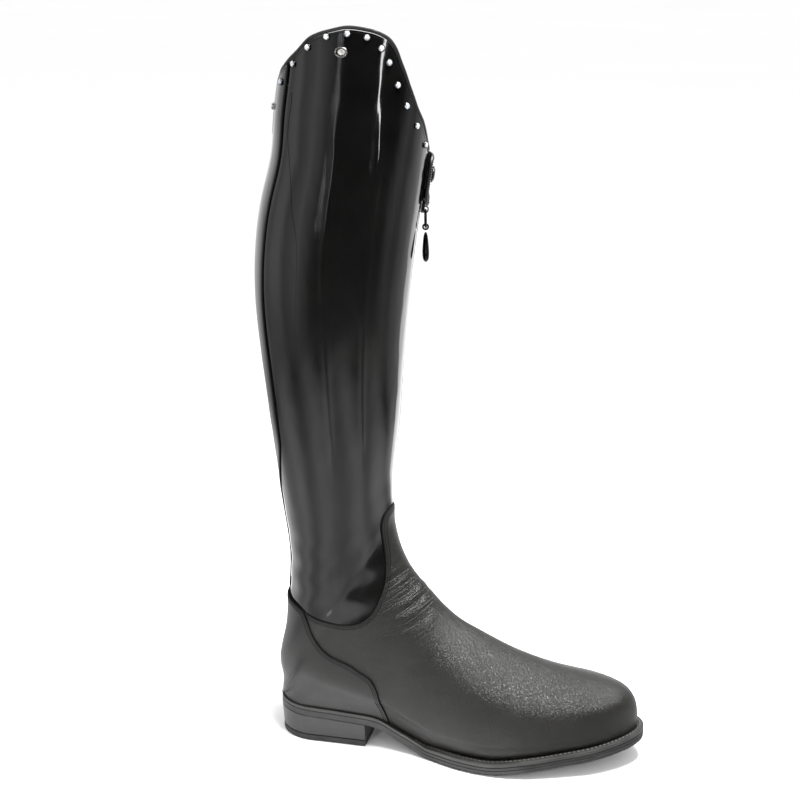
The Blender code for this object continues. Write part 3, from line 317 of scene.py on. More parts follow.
# Edges of the stiffeners behind the shaft: share of LEG_HEIGHT and place round the leg
RIDGE_ROWS = (
    ((0.40, 0.278), (0.47, 0.280), (0.59, 0.283), (0.65, 0.278), (0.765, 0.272), (0.86, 0.262)),
    ((0.40, 0.350), (0.44, 0.352), (0.59, 0.358), (0.65, 0.358), (0.785, 0.352), (0.87, 0.345)),
)
RIDGE_HEIGHT = 0.00055
RIDGE_WIDTH = 0.0022

# Edge of the stiff outer panel under the patent: place round the leg and share of LEG_HEIGHT
PANEL_ROWS = ((0.102, 0.926), (0.138, 0.914), (0.150, 0.900), (0.149, 0.878), (0.147, 0.854),
              (0.160, 0.822), (0.185, 0.780), (0.202, 0.746), (0.220, 0.708), (0.224, 0.640),
              (0.220, 0.560))

# Camera of the photograph and the even light of the surroundings
CAMERA_TURN = math.radians(11.4)
CAMERA_PITCH = 0.30
CAMERA_DISTANCE = 1.10
CAMERA_HEIGHT = 0.621
CAMERA_ALONG = 0.1076
CAMERA_LENS = 70.07
CAMERA_ASIDE = 60 / 800
SENSOR_WIDTH = 36.0
WORLD_LIGHT = 1.08
FLOOR_REACH = 30.0
FLOOR_GAP = 0.0002

# The room that the leg mirrors: brightness by angle from the camera's direction, left to right
SCREEN_TONES = (
    (-150, 1.00), (-132, 0.95), (-116, 0.60), (-104, 0.40), (-92, 0.75), (-80, 0.95), (-70, 0.55),
    (-60, 0.70), (-50, 0.95), (-42, 0.70), (-34, 0.45), (-27, 0.16), (-20, 0.02), (-12, 0.0),
    (56, 0.0), (64, 0.03), (72, 0.30), (80, 0.55), (90, 0.35), (102, 0.70), (116, 0.90), (132, 1.00),
)
# Its section, from the floor outward and up: reach, height, own brightness and the weight of that
SCREEN_PROFILE = (
    (0.16, 0.001, 1.05, 1.0), (0.30, 0.001, 1.15, 1.0), (0.44, 0.001, 1.10, 1.0),
    (0.56, 0.001, 0.72, 1.0), (0.66, 0.006, 0.42, 0.90), (0.74, 0.03, 0.28, 0.70),
    (0.80, 0.08, 0.18, 0.46), (0.84, 0.16, 0.10, 0.22),
    (0.86, 0.28, 0.0, 0.0), (0.86, 0.80, 0.0, 0.0), (0.86, 1.30, 0.0, 0.0),
)


def column(columns, rows, name):
    return np.array([row[columns.index(name)] for row in rows], float)


def bent(knots, values, at, slopes=None):
    """Cubic spline through the knots, with free ends or with the end slopes given."""
    knots, values, at = (np.asarray(item, float) for item in (knots, values, at))
    count = len(knots)
    step = np.diff(knots)
    matrix = np.eye(count)
    right = np.zeros(values.shape)
    for i in range(1, count - 1):
        matrix[i, i - 1:i + 2] = step[i - 1], 2 * (step[i - 1] + step[i]), step[i]
        rise_after = (values[i + 1] - values[i]) / step[i]
        rise_before = (values[i] - values[i - 1]) / step[i - 1]
        right[i] = 6 * (rise_after - rise_before)
    if slopes is not None:
        matrix[0, :2] = 2 * step[0], step[0]
        matrix[-1, -2:] = step[-1], 2 * step[-1]
        right[0] = 6 * ((values[1] - values[0]) / step[0] - slopes[0])
        right[-1] = 6 * (slopes[1] - (values[-1] - values[-2]) / step[-1])
    bend = np.linalg.solve(matrix, right)
    k = np.clip(np.searchsorted(knots, at, side="right") - 1, 0, count - 2)
    spread = (-1,) + (1,) * (values.ndim - 1)
    h = step[k].reshape(spread)
    low = (at - knots[k]).reshape(spread)
    high = h - low
    curve = (bend[k] * high ** 3 + bend[k + 1] * low ** 3) / (6 * h)
    return (curve + (values[k] / h - bend[k] * h / 6) * high
            + (values[k + 1] / h - bend[k + 1] * h / 6) * low)


def steady(knots, values, at):
    """Cubic curve through the knots that stays between neighbouring values."""
    knots, values, at = (np.asarray(item, float) for item in (knots, values, at))
    step = np.diff(knots)
    slope = np.diff(values) / step
    product = slope[:-1] * slope[1:]
    inner = np.where(product > 0, 2 * product / (slope[:-1] + slope[1:] + 1e-30), 0.0)
    ends = np.concatenate([slope[:1], inner, slope[-1:]])
    k = np.clip(np.searchsorted(knots, at, side="right") - 1, 0, len(knots) - 2)
    h = step[k]
    t = (at - knots[k]) / h
    line = values[k] * (1 + 2 * t) * (1 - t) ** 2 + values[k + 1] * t * t * (3 - 2 * t)
    return line + h * t * (1 - t) * (ends[k] * (1 - t) - ends[k + 1] * t)


def height_column(name, x):
    along = column(HEIGHT_COLUMNS, HEIGHT_ROWS, "along")
    share = np.clip(np.asarray(x, float) / SOLE_LENGTH, 0, 1)
    return steady(along, column(HEIGHT_COLUMNS, HEIGHT_ROWS, name), share)


def sole_bottom(x):
    return HEEL_HEIGHT * height_column("heel", x) + TOE_SPRING * height_column("toe", x)


def sole_top(x):
    return sole_bottom(x) + SOLE_THICKNESS * height_column("thickness", x)


def feather_height(x):
    return sole_top(x) + WELT_THICKNESS + 2 * GAP


def outline(sign, inset=0.0, heel_round=True, count=121):
    """One side of the sole in plan, heel to toe, moved in by a share of the welt's width."""
    share = (1 - np.cos(np.linspace(0, math.pi, count))) / 2
    along = column(OUTLINE_COLUMNS, OUTLINE_ROWS, "along")
    names = ("heel_part", "centre", "outer" if sign < 0 else "inner")
    part, centre, half = (bent(along, column(OUTLINE_COLUMNS, OUTLINE_ROWS, n), share) for n in names)
    toe = np.clip((share - 1 + TOE_ROUND) / TOE_ROUND, 0, 1)
    heel = np.clip((HEEL_ROUND - share) / HEEL_ROUND, 0, 1) if heel_round else 0
    end = np.sqrt(1 - toe ** 2) * np.sqrt(1 - heel ** 2)
    width = HEEL_WIDTH * part + BALL_WIDTH * (1 - part)
    line = np.stack([share * SOLE_LENGTH, centre * BALL_WIDTH + sign * half * width * end], 1)
    along_x, along_y = np.gradient(line, axis=0).T
    along_x[[0, -1]] = 0 if heel_round else (1, 0)
    length = np.hypot(along_x, along_y)
    normal = np.stack([along_y, -along_x], 1) * sign / length[:, None]
    return line + normal * np.reshape(inset, (-1, 1)) * np.ones((count, 1))


@lru_cache(maxsize=None)
def feather_line(sign, heel_round=True):
    """Plan of the edge where the upper meets the welt, heel end to toe end."""
    line = outline(sign, 0.0, heel_round)
    return outline(sign, WELT_WIDTH * height_column("margin", line[:, 0]), heel_round)


@lru_cache(maxsize=None)
def row_values():
    """Every section row in metres: lower and upper end, swell, widest place and fullness."""
    low, top, rise, outer, inner, wide, ridge, side, crown = (
        column(FOOT_COLUMNS, FOOT_ROWS, name) for name in FOOT_COLUMNS)
    line = feather_line(-1)
    heel_end, toe_end = line[0, 0], line[-1, 0]
    low_x = heel_end + low * (toe_end - heel_end)
    top_x = heel_end + top * (toe_end - heel_end)
    ground = feather_height(low_x)
    foot = np.stack([low_x, ground, top_x, ground + rise * INSTEP_HEIGHT,
                     outer * BALL_WIDTH, inner * BALL_WIDTH, wide, ridge * BALL_WIDTH, side, crown], 1)
    calf, back, back_up, depth, front_up, half, wide, side, crown = (
        column(LEG_COLUMNS, LEG_ROWS, name) for name in LEG_COLUMNS)
    seat = feather_height(0.0)
    bend = foot[-1, 3]
    reach = abs(feather_line(-1, False)[0, 1])
    swell = half * (CALF_WIDTH * calf + ANKLE_WIDTH * (1 - calf)) - reach
    back_x = back * CALF_DEPTH
    front_x = back_x + depth * (CALF_DEPTH * calf + ANKLE_DEPTH * (1 - calf))
    leg = np.stack([back_x, seat + back_up * LEG_HEIGHT, front_x,
                    bend + front_up * (seat + LEG_HEIGHT - bend),
                    swell, swell, wide, 0 * half, side, crown], 1)
    return np.vstack([foot, leg])


def quarter(start, leave, arrive, end, t):
    """Points of a Bezier curve."""
    t = t[:, None]
    return (start * (1 - t) ** 3 + 3 * leave * t * (1 - t) ** 2 + 3 * arrive * t * t * (1 - t)
            + end * t ** 3)


def section(row, on_sole, at):
    """One section: width and share of its height at places from 0, outer edge, to 1, inner edge."""
    low_x, _, _, _, outer, inner, wide, ridge, side, crown = row
    halves = []
    for sign, swell in ((-1, outer), (1, inner)):
        closed = feather_line(sign)
        full = feather_line(sign, False)
        x = low_x if on_sole else closed[0, 0]
        edge = np.interp(x, closed[:, 0], closed[:, 1])
        reach = np.interp(x, full[:, 0], full[:, 1])
        open_part = edge / reach
        turn = math.radians(78) * open_part ** 2 * (3 - 2 * open_part)
        widest = reach + sign * swell
        spread = abs(widest - ridge)
        bottom = np.array([edge, 0.0])
        belly = np.array([widest, wide])
        top = np.array([ridge, 1.0])
        leave = bottom + np.array([sign * math.cos(turn) * 0.56 * spread,
                                   math.sin(turn) * 0.5 * wide])
        reach_in = belly - np.array([0.0, 0.56 * wide])
        up = belly + np.array([0.0, side * (1 - wide)])
        over = top + np.array([(widest - ridge) * crown, 0.0])
        halves.append((bottom, leave, reach_in, belly, up, over, top))
    t = np.linspace(0, 1, 4)
    (a0, a1, a2, a3, a4, a5, a6), (b0, b1, b2, b3, b4, b5, b6) = halves
    shape = np.vstack([quarter(a0, a1, a2, a3, t)[:-1], quarter(a3, a4, a5, a6, t)[:-1],
                       quarter(b6, b5, b4, b3, t)[:-1], quarter(b3, b2, b1, b0, t)])
    knots = np.linspace(0, 1, len(shape))
    slopes = (12 * (a1 - a0), 12 * (b0 - b1))
    return bent(knots, shape, at, slopes)


def skin(stations, places):
    """Outer surface: for each station (row number) the points at the given places around it."""
    rows = row_values()
    knots = np.arange(len(rows), dtype=float)
    result = []
    for station in stations:
        row = bent(knots, rows, [station])[0]
        if station <= HEEL_SECTION:
            row[0] = max(row[0], rows[HEEL_SECTION, 0])
            row[1] = feather_height(row[0])
        flat = section(row, station <= HEEL_SECTION, places)
        low, high = row[:2], row[2:4]
        result.append(np.stack([low[0] + (high[0] - low[0]) * flat[:, 1], flat[:, 0],
                                low[1] + (high[1] - low[1]) * flat[:, 1]], 1))
    return np.array(result)


def welded(points, faces):
    """Joins points that lie on each other and drops the faces that close up."""
    keys = {}
    first = []
    kept = []
    for index, point in enumerate(np.round(points, 7)):
        key = tuple(point)
        if key not in keys:
            keys[key] = len(kept)
            kept.append(index)
        first.append(keys[key])
    joined = []
    for face in faces:
        ring = [first[index] for index in face]
        ring = [corner for k, corner in enumerate(ring) if corner != ring[k - 1]]
        if len(ring) > 2:
            joined.append(tuple(ring))
    return np.asarray(points)[kept], joined, np.array(first), np.array(kept)


def plank(levels):
    """Solid through closed outlines. Each level is its outer and its inner line, heel to toe."""
    count = len(levels[0][0])
    points = np.vstack([line for level in levels for line in level])
    faces = []
    for k in range(len(levels) - 1):
        low = 2 * count * k
        high = low + 2 * count
        for i in range(count - 1):
            faces.append((low + i, low + i + 1, high + i + 1, high + i))
            faces.append((low + count + i, high + count + i, high + count + i + 1, low + count + i + 1))
        last = count - 1
        faces.append((low, high, high + count, low + count))
        faces.append((low + last, low + count + last, high + count + last, high + last))
    top = 2 * count * (len(levels) - 1)
    for i in range(count - 1):
        faces.append((i, count + i, count + i + 1, i + 1))
        faces.append((top + i, top + i + 1, top + count + i + 1, top + count + i))
    return welded(points, faces)[:2]


def walls(rings, sides, closed=False):
    """Faces between rings of points. A closed run joins its last ring to the first."""
    return [(k * sides + i, k * sides + (i + 1) % sides, (k + 1) % rings * sides + (i + 1) % sides,
             (k + 1) % rings * sides + i)
            for k in range(rings if closed else rings - 1) for i in range(sides)]


def barrel(rings, sides):
    """Faces of a closed barrel: its two ends and the walls between its rings."""
    ends = [tuple(reversed(range(sides))), tuple(range((rings - 1) * sides, rings * sides))]
    return ends + walls(rings, sides)


def ring_solid(loops):
    """Solid ring through closed loops of equal count, listed round its section, outside first."""
    return np.vstack(loops), walls(len(loops), len(loops[0]), True)


def closed_loop(level):
    """The two lines of a level as one loop, anticlockwise from above, with no point twice."""
    outer, inner = level
    return np.vstack([outer, inner[-2:0:-1]])


def sheet(stations, around_places):
    """The outer skin as a sheet: its faces and a table of its points.

    The table holds each point, its outward normal, its place round the boot and its distance
    from the zip's line along the surface.
    """
    grid = skin(stations, around_places)
    length = np.linalg.norm(np.diff(grid, axis=1), axis=2)
    travelled = np.concatenate([np.zeros((len(grid), 1)), np.cumsum(length, axis=1)], 1)
    zip_column = int(np.argmin(np.abs(around_places - ZIP_PLACE)))
    travelled -= travelled[:, zip_column:zip_column + 1]
    rows, columns = grid.shape[:2]
    faces = []
    for i in range(rows - 1):
        for j in range(columns - 1):
            start = i * columns + j
            if (around_places[j] < 0.5) != (i == 0):
                faces.append((start, start + 1, start + columns + 1))
                faces.append((start, start + columns + 1, start + columns))
            else:
                faces.append((start, start + 1, start + columns))
                faces.append((start + 1, start + columns + 1, start + columns))
    points, joined, number, _ = welded(grid.reshape(-1, 3), faces)
    normals = np.zeros(points.shape)
    corner = np.array(joined)
    first, second, third = (points[corner[:, k]] for k in range(3))
    turn = np.cross(second - first, third - first)
    for k in range(3):
        np.add.at(normals, corner[:, k], turn)
    on_welt = np.abs(points[:, 2] - feather_height(points[:, 0])) < GAP / 10
    normals[on_welt, 2] = 0
    normals /= np.linalg.norm(normals, axis=1)[:, None]
    place = np.tile(around_places, rows)
    table = np.column_stack([points[number], normals[number], place, travelled.reshape(-1)])
    return table, faces


def clip(piece, field):
    """The part of a sheet where the field is positive, cut along its zero line."""
    table, faces = piece
    inside = (field(table) > 0).tolist()
    crossed = {}
    for face in faces:
        for k, corner in enumerate(face):
            before = face[k - 1]
            if inside[before] != inside[corner]:
                crossed[(min(before, corner), max(before, corner))] = 0
    rows = table
    if crossed:
        ends = np.array(list(crossed))
        crossed = {key: len(table) + k for k, key in enumerate(crossed)}
        first, last = table[ends[:, 0]], table[ends[:, 1]]
        starts_in = np.array(inside)[ends[:, 0]]
        near, far = np.zeros(len(ends)), np.ones(len(ends))
        for _ in range(12):
            share = (near + far) / 2
            same = (field(first * (1 - share[:, None]) + last * share[:, None]) > 0) == starts_in
            near, far = np.where(same, share, near), np.where(same, far, share)
        share = np.clip((near + far) / 2, 0.01, 0.99)[:, None]
        rows = np.vstack([table, first * (1 - share) + last * share])
    kept = []
    for face in faces:
        ring = []
        for k, corner in enumerate(face):
            before = face[k - 1]
            if inside[before] != inside[corner]:
                ring.append(crossed[(min(before, corner), max(before, corner))])
            if inside[corner]:
                ring.append(corner)
        if len(ring) > 2:
            kept.append(tuple(ring))
    used = sorted({corner for face in kept for corner in face})
    number = {old: new for new, old in enumerate(used)}
    return rows[used], [tuple(number[corner] for corner in face) for face in kept]


def shell(piece, outward, inward):
    """Closed wall: the sheet moved out and in along its normals and joined round its edges."""
    points, faces, _, kept = welded(piece[0][:, :3], piece[1])
    normals = piece[0][kept, 3:6]
    count = len(points)
    outward, inward = (np.broadcast_to(offset, len(piece[0]))[kept, None]
                       for offset in (outward, inward))
    outside = points + normals * outward
    inside = points - normals * inward
    walls = list(faces) + [tuple(corner + count for corner in reversed(face)) for face in faces]
    edges = {(face[k - 1], face[k]) for face in faces for k in range(len(face))}
    for a, b in edges:
        if (b, a) not in edges:
            walls.append((b, a, a + count, b + count))
    return np.vstack([outside, inside]), walls


def side_curve(rows):
    """A seam drawn in the side view, as close points of a smooth curve."""
    knots = np.array(rows) * (ANKLE_DEPTH, INSTEP_HEIGHT) + (0.0, feather_height(0.0))
    travelled = np.concatenate([[0], np.cumsum(np.linalg.norm(np.diff(knots, axis=0), axis=1))])
    return bent(travelled, knots, np.linspace(0, travelled[-1], 4 * len(rows)))


def line_field(curve, flat):
    """Distance of each point from a line in a flat view, positive on the left of its run."""
    start, run = curve[:-1], np.diff(curve, axis=0)

    def field(table):
        offset = flat(table)[:, None, :] - start
        share = np.clip((offset * run).sum(2) / (run * run).sum(1), 0, 1)
        gap = offset - share[:, :, None] * run
        distance = np.linalg.norm(gap, axis=2)
        nearest = distance.argmin(1)
        pick = np.arange(len(table))
        cross = run[nearest, 0] * gap[pick, nearest, 1] - run[nearest, 1] * gap[pick, nearest, 0]
        return distance[pick, nearest] * np.sign(cross)
    return field


def side_field(rows):
    """Distance from a seam in the side view, positive on the left of its run."""
    return line_field(side_curve(rows), lambda table: table[:, [0, 2]])


def up_to(share):
    return feather_height(0.0) + share * LEG_HEIGHT


def collar_height(place):
    return up_to(steady(column(COLLAR_COLUMNS, COLLAR_ROWS, "place"),
                        column(COLLAR_COLUMNS, COLLAR_ROWS, "up"), np.clip(place, 0, 1)))


def collar_field():
    """Distance below the top edge, measured on the leg laid out flat."""
    girth = 3 * CALF_WIDTH
    place = np.linspace(-0.1, 1.1, 241)
    curve = np.stack([place * girth, collar_height(place % 1.0)], 1)
    above = line_field(curve, lambda table: table[:, [6, 2]] * (girth, 1.0))
    return lambda table: -above(table)


def skin_frame(place, height, out=0.0):
    """Point on the skin at a place and height, and its directions round, up and out."""
    stations = np.linspace(HEEL_SECTION + 1, LAST_SECTION, 60)
    heights = skin(stations, np.array([place]))[:, 0, 2]
    station = float(np.interp(height, heights, stations))
    step = 0.02
    near = skin([station - step, station, station + step], np.array([place - step, place, place + step]))
    around = near[1, 2] - near[1, 0]
    around /= np.linalg.norm(around)
    rise = near[2, 1] - near[0, 1]
    normal = np.cross(around, rise)
    normal /= np.linalg.norm(normal)
    return near[1, 1] + normal * out, around, np.cross(normal, around), normal


def place_beside_zip(shift, height):
    """Place round the leg that lies a distance along the surface from the zip's line."""
    left = skin_frame(ZIP_PLACE - 0.01, height)[0]
    right = skin_frame(ZIP_PLACE + 0.01, height)[0]
    return ZIP_PLACE + shift * 0.02 / np.linalg.norm(right - left)


def zip_slot_field(table):
    """Positive outside the slot that the zip fills."""
    beside = np.abs(table[:, 7]) - ZIP_SLOT / 2
    below = up_to(ZIP_FOOT_UP) - table[:, 2]
    return np.maximum(beside, below)


def strip_field(table):
    share = (table[:, 2] - feather_height(0.0)) / LEG_HEIGHT
    ups = column(STRIP_COLUMNS, STRIP_ROWS, "up")
    half = steady(ups, column(STRIP_COLUMNS, STRIP_ROWS, "half"), np.clip(share, ups[0], ups[-1]))
    from_back = np.minimum(table[:, 6], 1 - table[:, 6])
    return (half - from_back) * 3 * CALF_WIDTH


def prism(profile, spine, across, up, thickness):
    """Solid of even thickness along a direction, its profile given in two others."""
    flat = np.array([spine[0] + p * across + q * up for p, q in profile])
    half = spine[1] * thickness / 2
    return np.vstack([flat - half, flat + half]), barrel(2, len(profile))


def rounded(width, height, corner, steps=4):
    """Outline of a rectangle with round corners, anticlockwise."""
    outline_points = []
    for k in range(4):
        middle = (math.copysign(width / 2 - corner, (1, -1, -1, 1)[k]),
                  math.copysign(height / 2 - corner, (1, 1, -1, -1)[k]))
        for i in range(steps + 1):
            angle = math.pi / 2 * (k + i / steps)
            outline_points.append((middle[0] + corner * math.cos(angle),
                                   middle[1] + corner * math.sin(angle)))
    return outline_points


def tube(path, radius, side, sides=6):
    """Closed loop of round wire along a path that lies in one plane with the given normal."""
    count = len(path)
    points = []
    for k in range(count):
        run = path[(k + 1) % count] - path[k - 1]
        run = run / np.linalg.norm(run)
        across = np.cross(side, run)
        for i in range(sides):
            angle = 2 * math.pi * i / sides
            points.append(path[k] + radius * (math.cos(angle) * across + math.sin(angle) * side))
    return np.array(points), walls(count, sides, True)


def turned(profile, spot, around, up, out, half_width, half_height, thickness, sides):
    """Round or oval piece on a surface, from its radius share and height share."""
    points = []
    for radius, height in profile:
        for k in range(sides):
            angle = 2 * math.pi * k / sides
            points.append(spot + out * height * thickness
                          + around * radius * half_width * math.cos(angle)
                          + up * radius * half_height * math.sin(angle))
    return np.array(points), barrel(len(profile), sides)


def stud_rise(place):
    """Studs that stand on the back panel are lifted by its thickness."""
    half = column(STRIP_COLUMNS, STRIP_ROWS, "half")[-1]
    edge = half + STUD_DIAMETER / (3 * CALF_WIDTH)
    return GAP + OVERLAY if place < edge else 0.0


def node(tree, kind, links=(), **settings):
    """Shader node with its inputs and options set and its inputs linked."""
    made = tree.nodes.new(kind)
    for name, value in settings.items():
        label = name.replace("_", " ")
        if label in made.inputs:
            made.inputs[label].default_value = value
        else:
            setattr(made, name, value)
    for target, source in links:
        tree.links.new(source, made.inputs[target])
    return made


def ramp(tree, source, stops):
    made = node(tree, "ShaderNodeValToRGB", [("Fac", source)])
    elements = made.color_ramp.elements
    while len(elements) < len(stops):
        elements.new(0.5)
    for element, (position, value) in zip(elements, stops):
        element.position = position
        element.color = (*value, 1.0) if isinstance(value, tuple) else (value, value, value, 1.0)
    return made.outputs["Color"]


def noise(tree, place, scale, detail=3.0):
    made = node(tree, "ShaderNodeTexNoise", [("Vector", place)], Scale=scale, Detail=detail)
    return made.outputs["Fac"]


def bump(tree, height, distance, strength=1.0, under=None):
    links = [("Height", height)] + ([("Normal", under)] if under is not None else [])
    return node(tree, "ShaderNodeBump", links, Distance=distance, Strength=strength).outputs["Normal"]


def vary(tree, shader, socket, field, low, high, stops=(0.3, 0.7)):
    """Lets a socket run from one value to another as a field grows."""
    tree.links.new(ramp(tree, field, ((stops[0], low), (stops[1], high))), shader.inputs[socket])


def new_material(name, **constants):
    material = bpy.data.materials.new(name)
    material.use_nodes = True
    tree = material.node_tree
    shader = tree.nodes["Principled BSDF"]
    for key, value in constants.items():
        shader.inputs[key.replace("_", " ")].default_value = value
    return material, tree, shader, tree.nodes.new("ShaderNodeTexCoord").outputs["Object"]


def stretched(tree, place, scale):
    return node(tree, "ShaderNodeMapping", [("Vector", place)], Scale=scale).outputs["Vector"]


def wrinkles(tree, place, under):
    """Fine folds that run up over the instep, as strong as the surface's own attribute says."""
    lean = math.radians(31)
    links = []
    for axis, direction in (("X", (24 * math.cos(lean), 0.0, 24 * math.sin(lean))),
                            ("Y", (-330 * math.sin(lean), 0.0, 330 * math.cos(lean))),
                            ("Z", (0.0, 22.0, 0.0))):
        dot = node(tree, "ShaderNodeVectorMath", [(0, place)], operation="DOT_PRODUCT")
        dot.inputs[1].default_value = direction
        links.append((axis, dot.outputs["Value"]))
    joined = node(tree, "ShaderNodeCombineXYZ", links)
    folds = ramp(tree, noise(tree, joined.outputs["Vector"], 1.0, 2.0), ((0.34, 0.0), (0.50, 1.0)))
    worn = node(tree, "ShaderNodeVertexColor", layer_name="worn").outputs["Color"]
    height = node(tree, "ShaderNodeVectorMath", [(0, folds), (1, worn)], operation="MULTIPLY")
    return bump(tree, height.outputs["Vector"], 0.00048, 0.9, under)


def leather(name, dark, light, rough, cells, grain, shine=0.42, worn=False):
    """Dyed calf: cloudy colour, uneven polish, pebbled grain with pores."""
    material, tree, shader, place = new_material(name, Specular_IOR_Level=shine)
    vary(tree, shader, "Base Color", noise(tree, place, 26.0, 5.0), dark, light, (0.30, 0.72))
    vary(tree, shader, "Roughness", noise(tree, place, 60.0, 4.0), *rough)
    pebbles = node(tree, "ShaderNodeTexVoronoi", [("Vector", place)], Scale=cells,
                   feature="DISTANCE_TO_EDGE").outputs["Distance"]
    soft = bump(tree, noise(tree, place, 75.0, 2.0), 0.0006, 0.30)
    if worn:
        soft = wrinkles(tree, place, soft)
    pores = bump(tree, noise(tree, place, 2600.0, 4.0), 0.6 * grain, 0.5, soft)
    height = ramp(tree, pebbles, ((0.0, 0.0), (0.35, 1.0)))
    tree.links.new(bump(tree, height, grain, 0.6, pores), shader.inputs["Normal"])
    return material


def patent_leather():
    """Black lacquered leather: mirror coat over long shallow waves."""
    material, tree, shader, place = new_material("patent_leather", Coat_Weight=1.0, Coat_Roughness=0.05,
                                                 Coat_IOR=1.5, Specular_IOR_Level=0.06)
    vary(tree, shader, "Base Color", noise(tree, place, 18.0, 3.0), (0.0016, 0.0016, 0.0017),
         (0.0042, 0.0041, 0.0039))
    vary(tree, shader, "Roughness", noise(tree, place, 70.0, 4.0), 0.07, 0.15)
    long_waves = noise(tree, stretched(tree, place, (1.0, 1.0, 0.30)), 46.0, 2.0)
    ripple = noise(tree, stretched(tree, place, (1.0, 1.0, 0.6)), 210.0, 3.0)
    waves = bump(tree, long_waves, 0.0022, 0.30)
    fine = bump(tree, ripple, 0.00030, 0.25, waves)
    finest = bump(tree, noise(tree, place, 1500.0, 3.0), 0.00004, 0.4, fine)
    tree.links.new(finest, shader.inputs["Normal"])
    tree.links.new(waves, shader.inputs["Coat Normal"])
    return material


def lined_material(name, dark, light, rough, line_scale, line_depth):
    """Stacked leather or moulded rubber: level lines across the height and a fine tooth."""
    material, tree, shader, place = new_material(name)
    vary(tree, shader, "Base Color", noise(tree, stretched(tree, place, (1.0, 1.0, 4.0)), 70.0, 5.0),
         dark, light)
    vary(tree, shader, "Roughness", noise(tree, place, 120.0, 4.0), *rough)
    lines = noise(tree, stretched(tree, place, (0.12, 0.12, 1.0)), line_scale, 3.0)
    level = bump(tree, lines, line_depth, 0.5)
    tooth = bump(tree, noise(tree, place, 900.0, 5.0), 0.00010, 0.7, level)
    tree.links.new(tooth, shader.inputs["Normal"])
    return material


def woven(name, dark, light, scale):
    """Twill tape."""
    material, tree, shader, place = new_material(name, Roughness=0.85, Sheen_Weight=0.25)
    weave = node(tree, "ShaderNodeTexWave", [("Vector", place)], bands_direction="DIAGONAL", Scale=scale,
                 Distortion=1.0, Detail=2.0).outputs["Fac"]
    vary(tree, shader, "Base Color", weave, dark, light, (0.2, 0.8))
    tree.links.new(bump(tree, weave, 0.00015, 0.8), shader.inputs["Normal"])
    return material


def thread_material(name, dark, light, roughness):
    material, tree, shader, place = new_material(name, Roughness=roughness, Specular_IOR_Level=0.15)
    twist = node(tree, "ShaderNodeTexWave", [("Vector", place)], bands_direction="DIAGONAL", Scale=900.0,
                 Distortion=0.4).outputs["Fac"]
    vary(tree, shader, "Base Color", twist, dark, light, (0.2, 0.8))
    tree.links.new(bump(tree, twist, 0.00008, 0.7), shader.inputs["Normal"])
    return material


def metal(name, dark, light, rough):
    """Plated metal with cloudy tarnish and fine wear lines."""
    material, tree, shader, place = new_material(name, Metallic=1.0)
    vary(tree, shader, "Base Color", noise(tree, place, 240.0, 4.0), dark, light)
    vary(tree, shader, "Roughness", noise(tree, place, 500.0, 5.0), *rough)
    tree.links.new(bump(tree, noise(tree, place, 1600.0, 3.0), 0.00002, 0.5), shader.inputs["Normal"])
    return material


def crystal_material():
    material, tree, shader, place = new_material("crystal", Metallic=0.45, Roughness=0.04,
                                                 Coat_Weight=1.0, Coat_Roughness=0.02)
    vary(tree, shader, "Base Color", noise(tree, place, 420.0, 2.0), (0.30, 0.33, 0.37),
         (0.82, 0.84, 0.87), (0.35, 0.65))
    return material


def add(name, points, faces, materials, replaces=(), body="boot", slot=None, inner=(), sharp=38):
    """One piece of the finished boot, from points laid out from the heel's end."""
    shift = np.array([HEEL_LENGTH / 2, 0.0, 0.0])
    mesh = bpy.data.meshes.new(name)
    mesh.from_pydata((np.asarray(points) - shift).tolist(), [], [list(face) for face in faces])
    mesh.shade_smooth()
    mesh.set_sharp_from_angle(angle=math.radians(sharp))
    for material in materials:
        mesh.materials.append(material)
    if inner:
        index = np.zeros(len(mesh.polygons), int)
        index[inner[0]:inner[1]] = 1
        mesh.polygons.foreach_set("material_index", index)
    mesh.validate()
    piece = bpy.data.objects.new(name, mesh)
    bpy.context.scene.collection.objects.link(piece)
    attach(piece, body)
    if replaces:
        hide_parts(*replaces)
    return piece


def add_wall(name, piece, outward, inward, materials, replaces=(), slot=None, border=None):
    """A wall from a sheet. The second material lines its inner face; the last inks its cut edge and
    paints shade along the rim of its outer face, where the seam's gap is dark.
    """
    points, faces = shell(piece, outward, inward)
    _, kept_faces, _, kept = welded(piece[0][:, :3], piece[1])
    count = len(kept_faces)
    lining = (count, 2 * count) if len(materials) > 1 + (border is not None) else ()
    made = add(name, points, faces, materials, replaces, slot=slot, inner=lining)
    if border is not None:
        distance = border(piece[0])[kept]
        middle = np.array([distance[list(face)].mean() for face in kept_faces])
        index = np.zeros(len(made.data.polygons), int)
        made.data.polygons.foreach_get("material_index", index)
        # Painted shade: the rim of the outer face along the border is coloured near black like the dark
        # gap at the seam; the cut edge walls get the same colour as edge ink
        index[:count][middle < INK_AND_SEAM_SHADE_SHARE * EDGE_RADIUS] = len(materials) - 1
        index[2 * count:] = len(materials) - 1
        made.data.polygons.foreach_set("material_index", index)
    return made


def mark_worn(piece, worn):
    """Writes how creased each point is. The wall's inner points repeat its outer ones."""
    layer = piece.data.color_attributes.new("worn", "FLOAT_COLOR", "POINT")
    twice = np.concatenate([worn, worn])
    layer.data.foreach_set("color", np.stack([twice, twice, twice, 0 * twice + 1], 1).ravel())


def score(piece, field):
    """Adds an edge along the zero line of a field."""
    first, second = clip(piece, field), clip(piece, lambda table: -field(table))
    count = len(first[0])
    return (np.vstack([first[0], second[0]]),
            list(first[1]) + [tuple(corner + count for corner in face) for face in second[1]])


